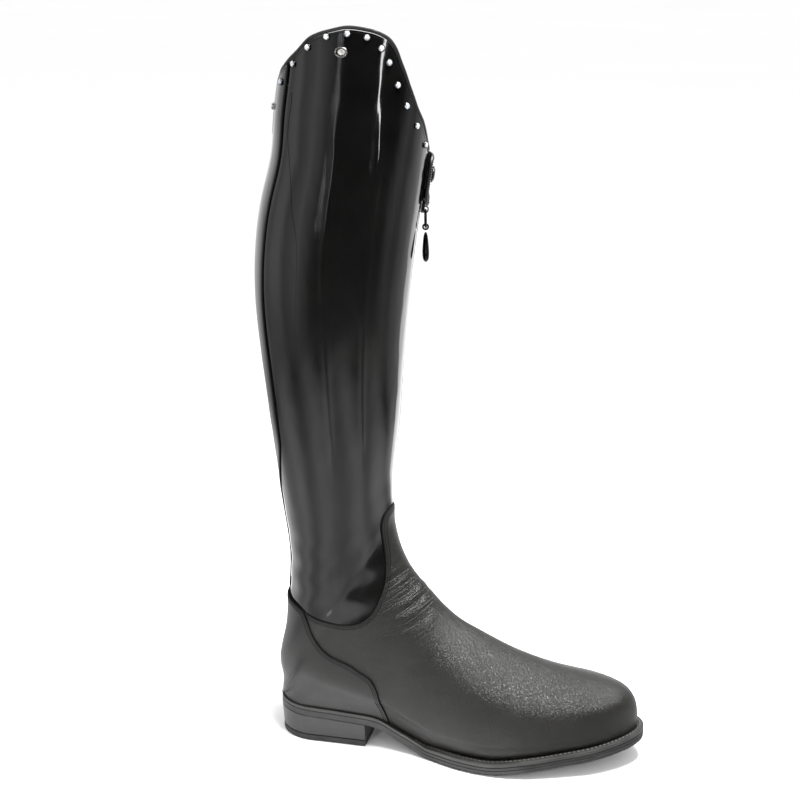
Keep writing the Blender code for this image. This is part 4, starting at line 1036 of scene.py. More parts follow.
def edge_bands(piece, field):
    """Edges near a panel's border, where its surface turns down."""
    for share in (0.25, INK_AND_SEAM_SHADE_SHARE, 1.0):
        piece = score(piece, lambda table, reach=share * EDGE_RADIUS: field(table) - reach)
    return piece


def edge_drop(distance, depth):
    """How far the surface lies below its full height, by distance from the panel's border."""
    left = 1 - np.clip(distance / EDGE_RADIUS, 0, 1)
    return depth * (1 - np.sqrt(1 - left ** 2 * 0.98))


def contour(piece, field):
    """Lines on a sheet where a field is zero, each as rows of the sheet's table."""
    table, faces = piece
    value = field(table)
    rows, number, links = [], {}, {}
    for face in faces:
        ends = []
        for k, corner in enumerate(face):
            key = (min(face[k - 1], corner), max(face[k - 1], corner))
            low, high = value[key[0]], value[key[1]]
            if (low > 0) != (high > 0):
                if key not in number:
                    share = low / (low - high)
                    number[key] = len(rows)
                    rows.append(table[key[0]] * (1 - share) + table[key[1]] * share)
                ends.append(number[key])
        if len(ends) == 2 and ends[0] != ends[1]:
            links.setdefault(ends[0], []).append(ends[1])
            links.setdefault(ends[1], []).append(ends[0])
    rows = np.array(rows)
    left = set(links)
    lines = []
    for start in [item for item in links if len(links[item]) == 1] + list(links):
        if start not in left:
            continue
        line = [start]
        left.discard(start)
        while True:
            onward = [item for item in links[line[-1]] if item in left]
            if not onward:
                break
            line.append(onward[0])
            left.discard(onward[0])
        if len(line) > 3:
            lines.append(rows[line])
    return lines


def spaced(line, pitch):
    """Points, run and outward normal at an even pitch along a line."""
    travelled = np.concatenate([[0], np.cumsum(np.linalg.norm(np.diff(line[:, :3], axis=0), axis=1))])
    count = int(travelled[-1] / pitch)
    if count < 1:
        return np.zeros((0, 3)), np.zeros((0, 3)), np.zeros((0, 3))
    at = (np.arange(count) + 0.5) * travelled[-1] / count
    there = np.array([np.interp(at, travelled, line[:, k]) for k in range(6)]).T
    ahead = np.array([np.interp(at + pitch / 4, travelled, line[:, k]) for k in range(3)]).T
    behind = np.array([np.interp(at - pitch / 4, travelled, line[:, k]) for k in range(3)]).T
    run = ahead - behind
    run /= np.linalg.norm(run, axis=1)[:, None]
    normal = there[:, 3:6] - (there[:, 3:6] * run).sum(1)[:, None] * run
    return there[:, :3], run, normal / np.linalg.norm(normal, axis=1)[:, None]


def stitches(lines, lift, pitch, length, thick):
    """Joined mesh of rounded stitches along lines, each half sunk at both ends."""
    sides = 6
    rings = ((-0.50, 0.30, -0.35), (-0.34, 0.85, 0.0), (0.0, 1.0, 0.12), (0.34, 0.85, 0.0),
             (0.50, 0.30, -0.35))
    shape = []
    for along, wide, high in rings:
        for k in range(sides):
            angle = 2 * math.pi * k / sides
            shape.append((along * length, wide * thick / 2 * math.cos(angle),
                          thick / 2 * (high + wide * math.sin(angle))))
    spots = []
    for line in lines:
        middle, run, normal = spaced(line, pitch)
        spots += zip(middle + normal * lift, run, np.cross(normal, run), normal)
    return oriented(np.array(shape), barrel(len(rings), sides), spots)


def cord_along(line, radius, lift, sides=6):
    """Thin round line on a surface."""
    points = []
    spots, runs, normals = spaced(line, CORD_PITCH)
    for spot, run, normal in zip(spots, runs, normals):
        across = np.cross(normal, run)
        for k in range(sides):
            angle = 2 * math.pi * k / sides
            points.append(spot + normal * (lift + radius * math.sin(angle))
                          + across * radius * math.cos(angle))
    return np.array(points), walls(len(spots), sides)


def crease_depth(table):
    """Depth of the ankle's creases at each point, with the low rolls that stand beside them."""
    flat = table[:, [0, 2]]
    total = np.zeros(len(table))
    seat = feather_height(0.0)
    for from_along, from_up, to_along, to_up, depth, width in CREASE_ROWS:
        start = np.array([from_along * ANKLE_DEPTH, seat + from_up * INSTEP_HEIGHT])
        run = np.array([to_along * ANKLE_DEPTH, seat + to_up * INSTEP_HEIGHT]) - start
        share = ((flat - start) @ run) / (run @ run)
        held = np.clip(share, 0, 1)
        sag = 0.10 * np.linalg.norm(run) * 4 * held * (1 - held)
        bent_line = start + held[:, None] * run + sag[:, None] * np.array([0.3, -1.0])
        distance = np.linalg.norm(flat - bent_line, axis=1) / width
        past = np.clip(np.abs(share - held), 0, 9)
        fade = np.sqrt(np.clip(4 * held * (1 - held), 0, 1)) * np.exp(-past * 6)
        total += fade * depth * (np.exp(-distance ** 2) - 0.45 * np.exp(-((distance - 1.9) / 0.9) ** 2))
    return total


def shaft_relief(table):
    """Long soft ridges over the edges of the stiffeners, and the leg's slow waves."""
    share = (table[:, 2] - feather_height(0.0)) / LEG_HEIGHT
    girth = 3 * CALF_WIDTH
    total = np.zeros(len(table))
    for rows in RIDGE_ROWS:
        ups, around = np.array(rows).T
        beside = table[:, 6] - steady(ups, around, np.clip(share, ups[0], ups[-1]))
        fade_in = np.clip((share - ups[0] + 0.03) / 0.06, 0, 1)
        fade_out = np.clip((ups[-1] + 0.04 - share) / 0.08, 0, 1)
        total += RIDGE_HEIGHT * fade_in * fade_out * np.exp(-(beside * girth / RIDGE_WIDTH) ** 2)
    waves = np.sin(table[:, 6] * 31 + 5 * share) * np.sin(share * 11 + 2 * np.cos(table[:, 6] * 12))
    near_foot = np.clip((0.32 - share) / 0.10, 0, 1)
    folds = np.sin(share * 150 + 3 * np.sin(table[:, 6] * 9)) * near_foot
    return total + 0.00025 * waves + 0.00022 * folds


def make_foot(calf, counter_calf, lining, thread, ink_and_seam_shade):
    around = np.linspace(0, 1, PLACES_ROUND + 1)
    foot_sheet = sheet(np.arange(0.0, HEEL_SECTION + 6.0, SKIN_STEP), around)
    seam = side_field(SEAM_ROWS)
    counter_edge = side_field(COUNTER_ROWS)

    def under_seam(table):
        return -GAP / 2 - seam(table)
    foot = edge_bands(clip(foot_sheet, under_seam), under_seam)
    drop = edge_drop(under_seam(foot[0]), FOOT_TURN) + crease_depth(foot[0])
    vamp = add_wall("vamp_leather", foot, -drop, UPPER_WALL, (calf, lining, ink_and_seam_shade), ("vamp_upper",),
                    "foot_leather", under_seam)
    seat = feather_height(0.0)
    middle = np.array([WRINKLE_MIDDLE[0] * ANKLE_DEPTH, seat + WRINKLE_MIDDLE[1] * INSTEP_HEIGHT])
    flat = foot[0][welded(foot[0][:, :3], foot[1])[3]][:, [0, 2]]
    mark_worn(vamp, np.exp(-(np.linalg.norm(flat - middle, axis=1) / WRINKLE_REACH) ** 2))

    def counter_border(table):
        return np.minimum(-counter_edge(table), under_seam(table))
    counter = clip(clip(foot_sheet, under_seam), lambda table: -counter_edge(table))
    counter = edge_bands(counter, counter_border)
    top = GAP + OVERLAY - edge_drop(counter_border(counter[0]), COUNTER_TURN)
    add_wall("counter_leather", counter, top, -GAP, (counter_calf, ink_and_seam_shade), ("counter",), "counter_leather",
             counter_border)

    vamp_only = clip(foot, counter_edge)
    rows = []
    for reach in (FIRST_ROW, SECOND_ROW):
        rows += contour(vamp_only, lambda table, reach=reach: under_seam(table) - reach)
    add("vamp_stitches", *stitches(rows, 0.0, STITCH_PITCH, STITCH_LENGTH, THREAD), (thread,))
    rows = []
    for reach in (FIRST_ROW, SECOND_ROW):
        rows += contour(counter, lambda table, reach=reach: counter_border(table) - reach)
    add("counter_stitches", *stitches(rows, GAP + OVERLAY, STITCH_PITCH, STITCH_LENGTH, THREAD),
        (thread,))


def make_leg(patent, binding, lining, thread, ink_and_seam_shade):
    around = np.linspace(0, 1, PLACES_ROUND + 1)
    leg_sheet = sheet(np.arange(float(SEAM_FROM), LAST_SECTION + SKIN_STEP / 2, SKIN_STEP), around)
    seam = side_field(SEAM_ROWS)
    above = clip(leg_sheet, lambda table: seam(table) - GAP / 2)
    below = collar_field()
    leg = clip(clip(above, lambda table: below(table) - BINDING_HEIGHT - GAP), zip_slot_field)
    leg = edge_bands(leg, zip_slot_field)
    drop = edge_drop(zip_slot_field(leg[0]), LEG_TURN) - shaft_relief(leg[0])
    add_wall("shaft_leather", leg, -LAP_STEP - drop, LAP_STEP + SHAFT_WALL, (patent, lining), ("shaft",),
             "shaft_leather")

    edge = clip(clip(leg_sheet, below), lambda table: BINDING_HEIGHT - below(table))
    edge = clip(edge, zip_slot_field)
    for share in (0.16, 0.42, 0.75):
        edge = score(edge, lambda table, reach=share * BINDING_HEIGHT: below(table) - reach)
    depth = below(edge[0])
    turn = np.minimum(depth, BINDING_HEIGHT - depth) / BINDING_HEIGHT
    swell = np.sqrt(np.clip(1 - (1 - np.clip(turn / 0.42, 0, 1)) ** 2, 0, 1))
    add_wall("collar_edge", edge, BINDING_LIP * (2 * swell - 1) - LAP_STEP,
             LAP_STEP + SHAFT_WALL + BINDING_LIP * swell, (binding,), ("collar_binding",),
             "binding_leather")

    def strip_border(table):
        free = below(table) - BINDING_HEIGHT - BINDING_LIP - 2 * GAP
        return np.minimum(np.minimum(free, seam(table) - 2 * GAP), strip_field(table))
    strip = clip(above, lambda table: below(table) - BINDING_HEIGHT - BINDING_LIP - 2 * GAP)
    strip = clip(clip(strip, lambda table: seam(table) - 2 * GAP), strip_field)
    strip = edge_bands(strip, strip_border)
    rise = GAP + OVERLAY - LAP_STEP - edge_drop(strip_border(strip[0]), STRIP_TURN)
    add_wall("back_panel", strip, rise, LAP_STEP - GAP, (patent, ink_and_seam_shade), ("back_strip",), "shaft_leather",
             strip_border)

    rows = contour(leg, lambda table: below(table) - BINDING_HEIGHT - FIRST_ROW)
    rows += contour(leg, lambda table: np.abs(table[:, 7]) - ZIP_SLOT / 2 - FIRST_ROW)
    rows = [row for row in rows if row[:, 2].min() > up_to(ZIP_FOOT_UP - 0.01)]
    add("leg_stitches", *stitches(rows, -LAP_STEP, STITCH_PITCH, STITCH_LENGTH, FINE_THREAD), (thread,))
    rows = contour(strip, lambda table: strip_border(table) - FIRST_ROW)
    add("back_stitches", *stitches(rows, GAP + OVERLAY - LAP_STEP, STITCH_PITCH, STITCH_LENGTH,
                                   FINE_THREAD), (thread,))
    spots = []
    for place, share in np.array([bent(np.arange(len(PANEL_ROWS)), np.array(PANEL_ROWS), [k / 3])[0]
                                  for k in range(3 * len(PANEL_ROWS) - 2)]):
        spot, _, _, out = skin_frame(place, up_to(share))
        spots.append(np.concatenate([spot, out]))
    add("panel_line", *cord_along(np.array(spots), PANEL_LINE, -LAP_STEP - 0.00002), (patent,))


def fine_lines(inset, height, end=None, ribs=0.0, front_only=False):
    """Outer and inner line of one level of the sole, closely spaced, with optional fine ribs."""
    margin_share, fixed = inset
    level = []
    share = (1 - np.cos(np.linspace(0, math.pi, SOLE_SAMPLES))) / 2
    share = 0.35 * share + 0.65 * np.linspace(0, 1, SOLE_SAMPLES)
    for sign in (-1, 1):
        plain = outline(sign, count=481)
        share_front = np.clip((plain[:, 0] / SOLE_LENGTH - 0.38) / 0.06, 0, 1) if front_only else 1.0
        depth = margin_share * WELT_WIDTH * height_column("margin", plain[:, 0]) + fixed * share_front
        line = outline(sign, depth, count=481)
        travelled = np.concatenate([[0], np.cumsum(np.linalg.norm(np.diff(plain, axis=0), axis=1))])
        reach = travelled[-1]
        at = share * reach
        if end is not None:
            last = np.interp(end, plain[:, 0], travelled)
            at = share * last
        x = np.interp(at, travelled, line[:, 0])
        y = np.interp(at, travelled, line[:, 1])
        if end is not None:
            x[-1] = end
        z = height(x) + 0 * x
        if ribs:
            wave = 0.5 - 0.5 * np.cos(2 * math.pi * at / TREAD_PITCH)
            front = np.clip((x / SOLE_LENGTH - 0.42) / 0.02, 0, 1)
            y = y - sign * ribs * wave * front
            z = z + 0.8 * ribs * wave * front
        level.append(np.stack([x, y, z], 1))
    return level


def make_sole(rubber, tread, welt_leather, heel_leather, lining, thread):
    def up(part):
        return lambda x: sole_bottom(x) + part * (sole_top(x) - sole_bottom(x))
    steps = ((0.0, 2.0, 0.0007), (0.04, 0.8, 0.0009), (0.12, 0.2, 0.0009), (0.24, 0.0, 0.0006),
             (0.30, 0.0, 0.0), (0.58, 0.0, 0.0), (0.62, 0.8, 0.0), (0.68, 0.8, 0.0), (0.73, 0.0, 0.0),
             (0.94, 0.0, 0.0), (1.0, 0.5, 0.0))
    levels = [fine_lines((0.0, inset * EDGE_STEP), up(part), ribs=ribs, front_only=True)
              for part, inset, ribs in steps]
    add("sole_rubber", *plank(levels), (rubber,), ("outsole",), slot="sole_rubber", sharp=28)

    def over(rise):
        return lambda x: sole_top(x) + GAP + rise
    high = WELT_THICKNESS
    groove = 0.66 * WELT_WIDTH
    profile = ((0.0, 0.4 * EDGE_STEP, 0.0), (0.0, 0.0, 0.4 * EDGE_STEP),
               (0.0, 0.0, high - 0.8 * EDGE_STEP), (0.0, 0.4 * EDGE_STEP, high - 0.2 * EDGE_STEP),
               (0.0, EDGE_STEP, high), (0.0, groove - 0.0008, high),
               (0.0, groove - 0.0004, high - 0.0004), (0.0, groove + 0.0004, high - 0.0004),
               (0.0, groove + 0.0008, high), (1.0, WELT_DEPTH, high), (1.0, WELT_DEPTH, 0.0))
    rings = [closed_loop(fine_lines((share, fixed), over(rise))) for share, fixed, rise in profile]
    add("welt_leather_ring", *ring_solid(rings), (welt_leather,), ("welt",), slot="welt_leather",
        sharp=30)

    run = []
    for edge, inner in zip(fine_lines((0.0, 0.0), over(high)), fine_lines((0.60, 0.0), over(high))):
        wide = height_column("margin", edge[:, 0]) > 0.5
        inner = inner[wide & (inner[:, 0] > 0.40 * SOLE_LENGTH)]
        run.append(np.hstack([inner, np.tile((0.0, 0.0, 1.0), (len(inner), 1))]))
    add("welt_stitches", *stitches(run, 0.0001, WELT_STITCH_PITCH, WELT_STITCH_LENGTH, WELT_THREAD),
        (thread,))

    base = TOP_PIECE_THICKNESS + GAP

    def block_up(part):
        return lambda x: base + part * (sole_bottom(x) - GAP - base)
    block = []
    for part, inset in ((0.0, HEEL_TAPER + 0.0005), (0.04, HEEL_TAPER), (0.5, 0.5 * HEEL_TAPER),
                        (0.96, 0.0), (1.0, 0.0004)):
        block.append(fine_lines((0.0, inset), block_up(part), HEEL_LENGTH))
    add("heel_stack", *plank(block), (heel_leather,), ("heel_block",), slot="heel_leather", sharp=30)
    tip = []
    for rise, inset in ((0.0, 0.0006), (0.0005, 0.0), (TOP_PIECE_THICKNESS - 0.0004, 0.0),
                        (TOP_PIECE_THICKNESS, 0.0004)):
        tip.append(fine_lines((0.0, HEEL_TAPER + inset), lambda x, rise=rise: rise, HEEL_LENGTH))
    add("heel_tip", *plank(tip), (tread,), ("top_piece",), slot="sole_rubber", sharp=30)
    narrow = UPPER_WALL + 3 * GAP
    bed = [fine_lines((1.0, WELT_DEPTH + GAP), lambda x: sole_top(x) + GAP),
           fine_lines((1.0, WELT_DEPTH + GAP), feather_height),
           fine_lines((1.0, narrow), feather_height),
           fine_lines((1.0, narrow), lambda x: feather_height(x) + 0.8 * INSOLE_THICKNESS),
           fine_lines((1.0, narrow + 0.0006), lambda x: feather_height(x) + INSOLE_THICKNESS)]
    add("insole_bed", *plank(bed), (lining,), ("insole",), slot="lining_leather")


def oriented(shape, faces, spots):
    """Copies of a small shape at many spots, each spot with its centre and three directions."""
    points, every = [], []
    for centre, first, second, third in spots:
        base = len(points) * len(shape)
        points.append(centre + shape @ np.array([first, second, third]))
        every += [tuple(corner + base for corner in face) for face in faces]
    return np.vstack(points), every


def lathe(profile, sides):
    """Turned shape about the third direction, from radius and height."""
    return turned(profile, np.zeros(3), *np.eye(3), 1.0, 1.0, 1.0, sides)


def make_zip(cloth, metal_teeth):
    """Cloth tape, its cord and two rows of coil teeth."""
    around = np.linspace(ZIP_PLACE - 0.05, ZIP_PLACE + 0.05, 61)
    around = np.unique(np.append(around, ZIP_PLACE))
    fine = sheet(np.arange(HEEL_SECTION + 2.0, LAST_SECTION + 0.01, 0.1), around)
    span = (up_to(ZIP_FOOT_UP), up_to(ZIP_HEAD_UP))
    depth = LAP_STEP + SHAFT_WALL + GAP

    def within(table, half, margin):
        beside, height = half - np.abs(table[:, 7]), table[:, 2]
        return np.minimum(beside, np.minimum(height - span[0] + margin, span[1] + margin - height))
    tape = clip(fine, lambda table: within(table, ZIP_TAPE_WIDTH / 2, 4 * ZIP_TAPE_THICKNESS))
    add_wall("tape_cloth", tape, -depth, depth + ZIP_TAPE_THICKNESS, (cloth,), ("zip_tape",),
             "zip_cloth")
    band = clip(fine, lambda table: within(table, ZIP_SLOT / 2 - GAP, -2 * GAP))
    band = score(band, lambda table: np.abs(table[:, 7]) - 0.4 * ZIP_SLOT)
    band = score(band, lambda table: np.abs(table[:, 7]) - 0.3 * ZIP_SLOT)
    beside = np.abs(band[0][:, 7]) / ZIP_SLOT
    low = -LAP_STEP - 0.0009 + 0.0005 * np.clip((beside - 0.3) / 0.1, 0, 1)
    add_wall("zip_cords", band, low, depth - GAP, (cloth,), ("zip_teeth",), "zip_cloth")
    middle = contour(fine, lambda table: table[:, 7] + 1e-7)[0]
    if middle[0, 2] > middle[-1, 2]:
        middle = middle[::-1]
    middle = middle[(middle[:, 2] > span[0]) & (middle[:, 2] < span[1])]
    tooth, faces = lathe(((0.25, -0.5), (0.46, -0.42), (0.5, 0.0), (0.46, 0.42), (0.25, 0.5)), 8)
    tooth = tooth[:, [2, 0, 1]] * COIL_TOOTH
    spots = []
    for side in (-1, 1):
        spot, run, normal = spaced(middle, COIL_PITCH)
        across = np.cross(normal, run)
        spot = spot + side * (COIL_ASIDE * across + 0.25 * COIL_PITCH * run) - (LAP_STEP + GAP) * normal
        spots += zip(spot, across, run, normal)
    points, every = oriented(tooth, faces, spots)
    add("zip_coil", points, every, (metal_teeth,), slot="zip_metal", sharp=60)


def bevelled(piece, width):
    modifier = piece.modifiers.new("round", "BEVEL")
    modifier.width = width
    modifier.segments = 2
    modifier.limit_method = "ANGLE"
    modifier.angle_limit = math.radians(40)


def make_slider(dark):
    middle, around, up, out = skin_frame(ZIP_PLACE, up_to(SLIDER_UP), ZIP_RISE - LAP_STEP + GAP)
    base = middle + out * SLIDER_THICKNESS / 2
    plate = rounded(SLIDER_WIDTH, SLIDER_LENGTH, SLIDER_WIDTH / 4, 8)
    plate_piece = add("slider_body", *prism(plate, (base, out), around, up, SLIDER_THICKNESS), (dark,),
                      ("zip_slider",), slot="zip_metal", sharp=30)
    bevelled(plate_piece, 0.0004)
    foot = middle - up * (SLIDER_LENGTH - BRIDGE_LENGTH) / 2
    rim = BRIDGE_HEIGHT / 4
    arch_top = SLIDER_THICKNESS + BRIDGE_HEIGHT
    half = BRIDGE_LENGTH / 2
    low = SLIDER_THICKNESS * 0.9
    square = 0.62
    outside, inside = [], []
    for k in range(17):
        angle = math.pi * k / 16
        along = math.copysign(abs(math.cos(angle)) ** square, math.cos(angle))
        high = abs(math.sin(angle)) ** square
        outside.append((along * half, low + high * (arch_top - low)))
        inside.append((along * (half - rim), low + high * (arch_top - rim - low)))
    shape = np.array([[p, q, side * BRIDGE_WIDTH / 2] for side in (-1, 1) for line in (outside, inside)
                      for p, q in line])
    count = len(outside)
    faces = []
    for k in range(count - 1):
        faces.append((k, count + k, count + k + 1, k + 1))
        faces.append((2 * count + k, 2 * count + k + 1, 3 * count + k + 1, 3 * count + k))
        faces.append((k, k + 1, 2 * count + k + 1, 2 * count + k))
        faces.append((count + k, 3 * count + k, 3 * count + k + 1, count + k + 1))
    faces += [(0, 2 * count, 3 * count, count),
              (count - 1, 2 * count - 1, 4 * count - 1, 3 * count - 1)]
    bridge = add("slider_bridge", foot + shape @ np.array([up, out, around]), faces, (dark,), sharp=30,
                 slot="zip_metal")
    bevelled(bridge, 0.00025)
    hinge = foot - up * (half - rim - LINK_WIRE / 2 - PIVOT_PLAY)
    return hinge + out * (SLIDER_THICKNESS + LINK_WIRE / 2 + PIVOT_PLAY), around


def make_puller(hinge, around, dark, coated):
    down = np.array([0.0, 0.0, -1.0])
    side = np.cross(around, down)
    side /= np.linalg.norm(side)
    down = np.cross(side, around)
    ring = rounded(LINK_WIDTH - LINK_WIRE, LINK_LENGTH - LINK_WIRE, (LINK_WIDTH - LINK_WIRE) / 3, 8)
    middle = hinge + down * (LINK_LENGTH - LINK_WIRE) / 2
    path = np.array([middle + p * around + q * down for p, q in ring])
    add("pull_wire", *tube(path, LINK_WIRE / 2, np.cross(around, down), 16), (dark,), ("pull_link",),
        "pull", "puller_metal", sharp=60)
    bar = hinge + down * (LINK_LENGTH - LINK_WIRE)
    neck_top = LINK_WIRE / 2 + 2 * PIVOT_PLAY + LINK_WIRE / 2
    reach = np.array((0.06, 0.09, 0.14, 0.20, 0.45, 0.70, 0.86, 0.96, 0.995)) * DROP_LENGTH
    width = np.array((0.10, 0.20, 0.30, 0.42, 0.78, 1.00, 0.86, 0.47, 0.10)) * DROP_WIDTH
    depth = np.array((0.16, 0.34, 0.48, 0.62, 0.86, 1.00, 0.90, 0.52, 0.12)) * DROP_THICKNESS
    at = np.linspace(reach[0], reach[-1], 36)
    wide, deep = steady(reach, width, at), steady(reach, depth, at)
    angles = np.linspace(0, 2 * math.pi, 32, endpoint=False)
    points = [bar + down * (here + neck_top) + around * w / 2 * math.cos(a) + side * d / 2 * math.sin(a)
              for here, w, d in zip(at, wide, deep) for a in angles]
    add("pull_teardrop", points, barrel(len(at), len(angles)), (coated,), ("pull_drop",), "pull",
        "puller_metal", sharp=60)
    inner_radius = LINK_WIRE / 2 + PIVOT_PLAY + EYE_WIRE
    eye = np.array([bar + inner_radius * (math.cos(a) * down + math.sin(a) * side)
                    for a in np.linspace(0, 2 * math.pi, 40, endpoint=False)])
    add("pull_eye", *tube(eye, EYE_WIRE, around, 12), (coated,), (), "pull", "puller_metal", sharp=60)


def make_tab(calf, dark, thread):
    height = up_to(TAB_UP)
    lowest = height - TAB_HEIGHT / 2
    around = np.unique(np.append(np.linspace(ZIP_PLACE - 0.06, ZIP_PLACE + 0.10, 121), ZIP_PLACE))
    fine = sheet(np.arange(LAST_SECTION - 8.0, LAST_SECTION - 1.0, 0.05), around)

    def tab_field(table):
        corner = TAB_HEIGHT / 5
        aside = np.abs(table[:, 7] - TAB_SHIFT) - TAB_WIDTH / 2 + corner
        away = np.abs(table[:, 2] - height) - TAB_HEIGHT / 2 + corner
        round_part = np.hypot(np.maximum(aside, 0), np.maximum(away, 0))
        return corner - round_part - np.minimum(np.maximum(aside, away), 0)
    tab = edge_bands(clip(fine, tab_field), tab_field)

    def under_height(table):
        """Height of the tab's inner face: low at its fixed end, raised over the zip and slider."""
        up, beside = table[:, 2], table[:, 7]
        lift = np.clip((TAB_SHIFT + TAB_WIDTH / 2 - SLIDER_WIDTH / 2 - beside) / SLIDER_WIDTH, 0, 1)
        lift = lift * lift * (3 - 2 * lift)
        over_zip = np.clip(2.1 - np.abs(beside) / (0.6 * SLIDER_WIDTH), 0, 1)
        over_slider = np.clip((lowest + SLIDER_LENGTH - up) / (0.4 * SLIDER_LENGTH), 0, 1)
        return (GAP - LAP_STEP + lift * (TAB_LIFT + ZIP_RISE + GAP)
                + over_zip * over_slider * (SLIDER_THICKNESS - TAB_LIFT + 2 * GAP))
    inner = under_height(tab[0])
    drop = edge_drop(tab_field(tab[0]), TAB_TURN)
    add_wall("tab_leather", tab, inner + TAB_THICKNESS - drop, -inner, (calf,), ("snap_tab",),
             "binding_leather")
    rows = contour(tab, lambda table: tab_field(table) - TAB_STITCH_ROW)
    for row in rows:
        row[:, :3] += row[:, 3:6] * (under_height(row) + TAB_THICKNESS)[:, None]
    add("tab_stitches", *stitches(rows, 0.0, STITCH_PITCH, STITCH_LENGTH, THREAD), (thread,))
    place = place_beside_zip(SNAP_SHIFT, up_to(SNAP_UP))
    rise = 3 * GAP - LAP_STEP + TAB_LIFT + ZIP_RISE + TAB_THICKNESS
    spot, across, rising, out = skin_frame(place, up_to(SNAP_UP), rise)
    profile = ((0.86, 0.0), (0.97, 0.12), (1.0, 0.28), (0.98, 0.44), (0.93, 0.52), (0.88, 0.50),
               (0.84, 0.52), (0.80, 0.66), (0.70, 0.84), (0.52, 0.95), (0.30, 0.99), (0.05, 1.0))
    half = SNAP_DIAMETER / 2
    add("snap_cap", *turned(profile, spot, across, rising, out, half, half, SNAP_THICKNESS, 48), (dark,),
        ("snap_button",), slot="zip_metal", sharp=60)


def make_trim(crystal, setting, plate_metal):
    half = STUD_DIAMETER / 2
    stone = []
    for radius, height, count, turn in ((0.80, 0.30, 12, 0.0), (0.78, 0.42, 12, 0.0),
                                        (0.60, 0.78, 12, 0.5), (0.38, 0.98, 6, 0.0)):
        for k in range(12):
            step = k if count == 12 else k - k % 2
            angle = 2 * math.pi * (step + turn) / 12
            stone.append((radius * half * math.cos(angle), radius * half * math.sin(angle),
                          height * STUD_HEIGHT))
    stone = np.array(stone)
    stone_faces = [tuple(range(36, 48))]
    for level in range(3):
        for k in range(12):
            j = (k + 1) % 12
            stone_faces.append((level * 12 + k, level * 12 + j, level * 12 + 12 + j))
            stone_faces.append((level * 12 + k, level * 12 + 12 + j, level * 12 + 12 + k))
    cup, cup_faces = lathe(((0.96, 0.0), (1.0, 0.12), (0.99, 0.30), (0.93, 0.40), (0.84, 0.42),
                            (0.80, 0.30)), 32)
    cup = cup * (half, half, STUD_HEIGHT)
    prong, prong_faces = lathe(((0.5, -0.5), (0.5, 0.2), (0.40, 0.42), (0.15, 0.5)), 8)
    prong = prong * PRONG_SIZE
    for number, (place, share) in enumerate(STUD_ROWS, 1):
        spot, around, up, out = skin_frame(place, up_to(share), GAP - LAP_STEP + stud_rise(place))
        prongs = []
        for k in range(4):
            angle = math.pi / 4 + math.pi / 2 * k
            there = spot + (math.cos(angle) * around + math.sin(angle) * up) * 0.80 * half
            prongs.append((there + out * 0.45 * STUD_HEIGHT, around, up, out))
        points, faces = oriented(cup, cup_faces, [(spot, around, up, out)])
        more, more_faces = oriented(prong, prong_faces, prongs)
        faces = faces + [tuple(corner + len(points) for corner in face) for face in more_faces]
        add(f"setting_{number:02d}", np.vstack([points, more]), faces, (setting,), sharp=40)
        gem, gem_faces = oriented(stone, stone_faces, [(spot, around, up, out)])
        add(f"gem_{number:02d}", gem, gem_faces, (crystal,), (f"stud_{number:02d}",),
            slot="stud_crystal", sharp=1)
    spot, around, up, out = skin_frame(BADGE_PLACE, up_to(BADGE_UP), GAP - LAP_STEP)
    plate = ((0.95, 0.0), (1.0, 0.2), (1.0, 0.6), (0.95, 0.92), (0.88, 1.0), (0.82, 0.92), (0.78, 0.80),
             (0.40, 0.88), (0.06, 0.90))
    add("badge_plate", *turned(plate, spot, around, up, out, BADGE_WIDTH / 2, BADGE_HEIGHT / 2,
                               BADGE_THICKNESS, 64), (plate_metal,), ("badge",), slot="badge_metal",
        sharp=60)


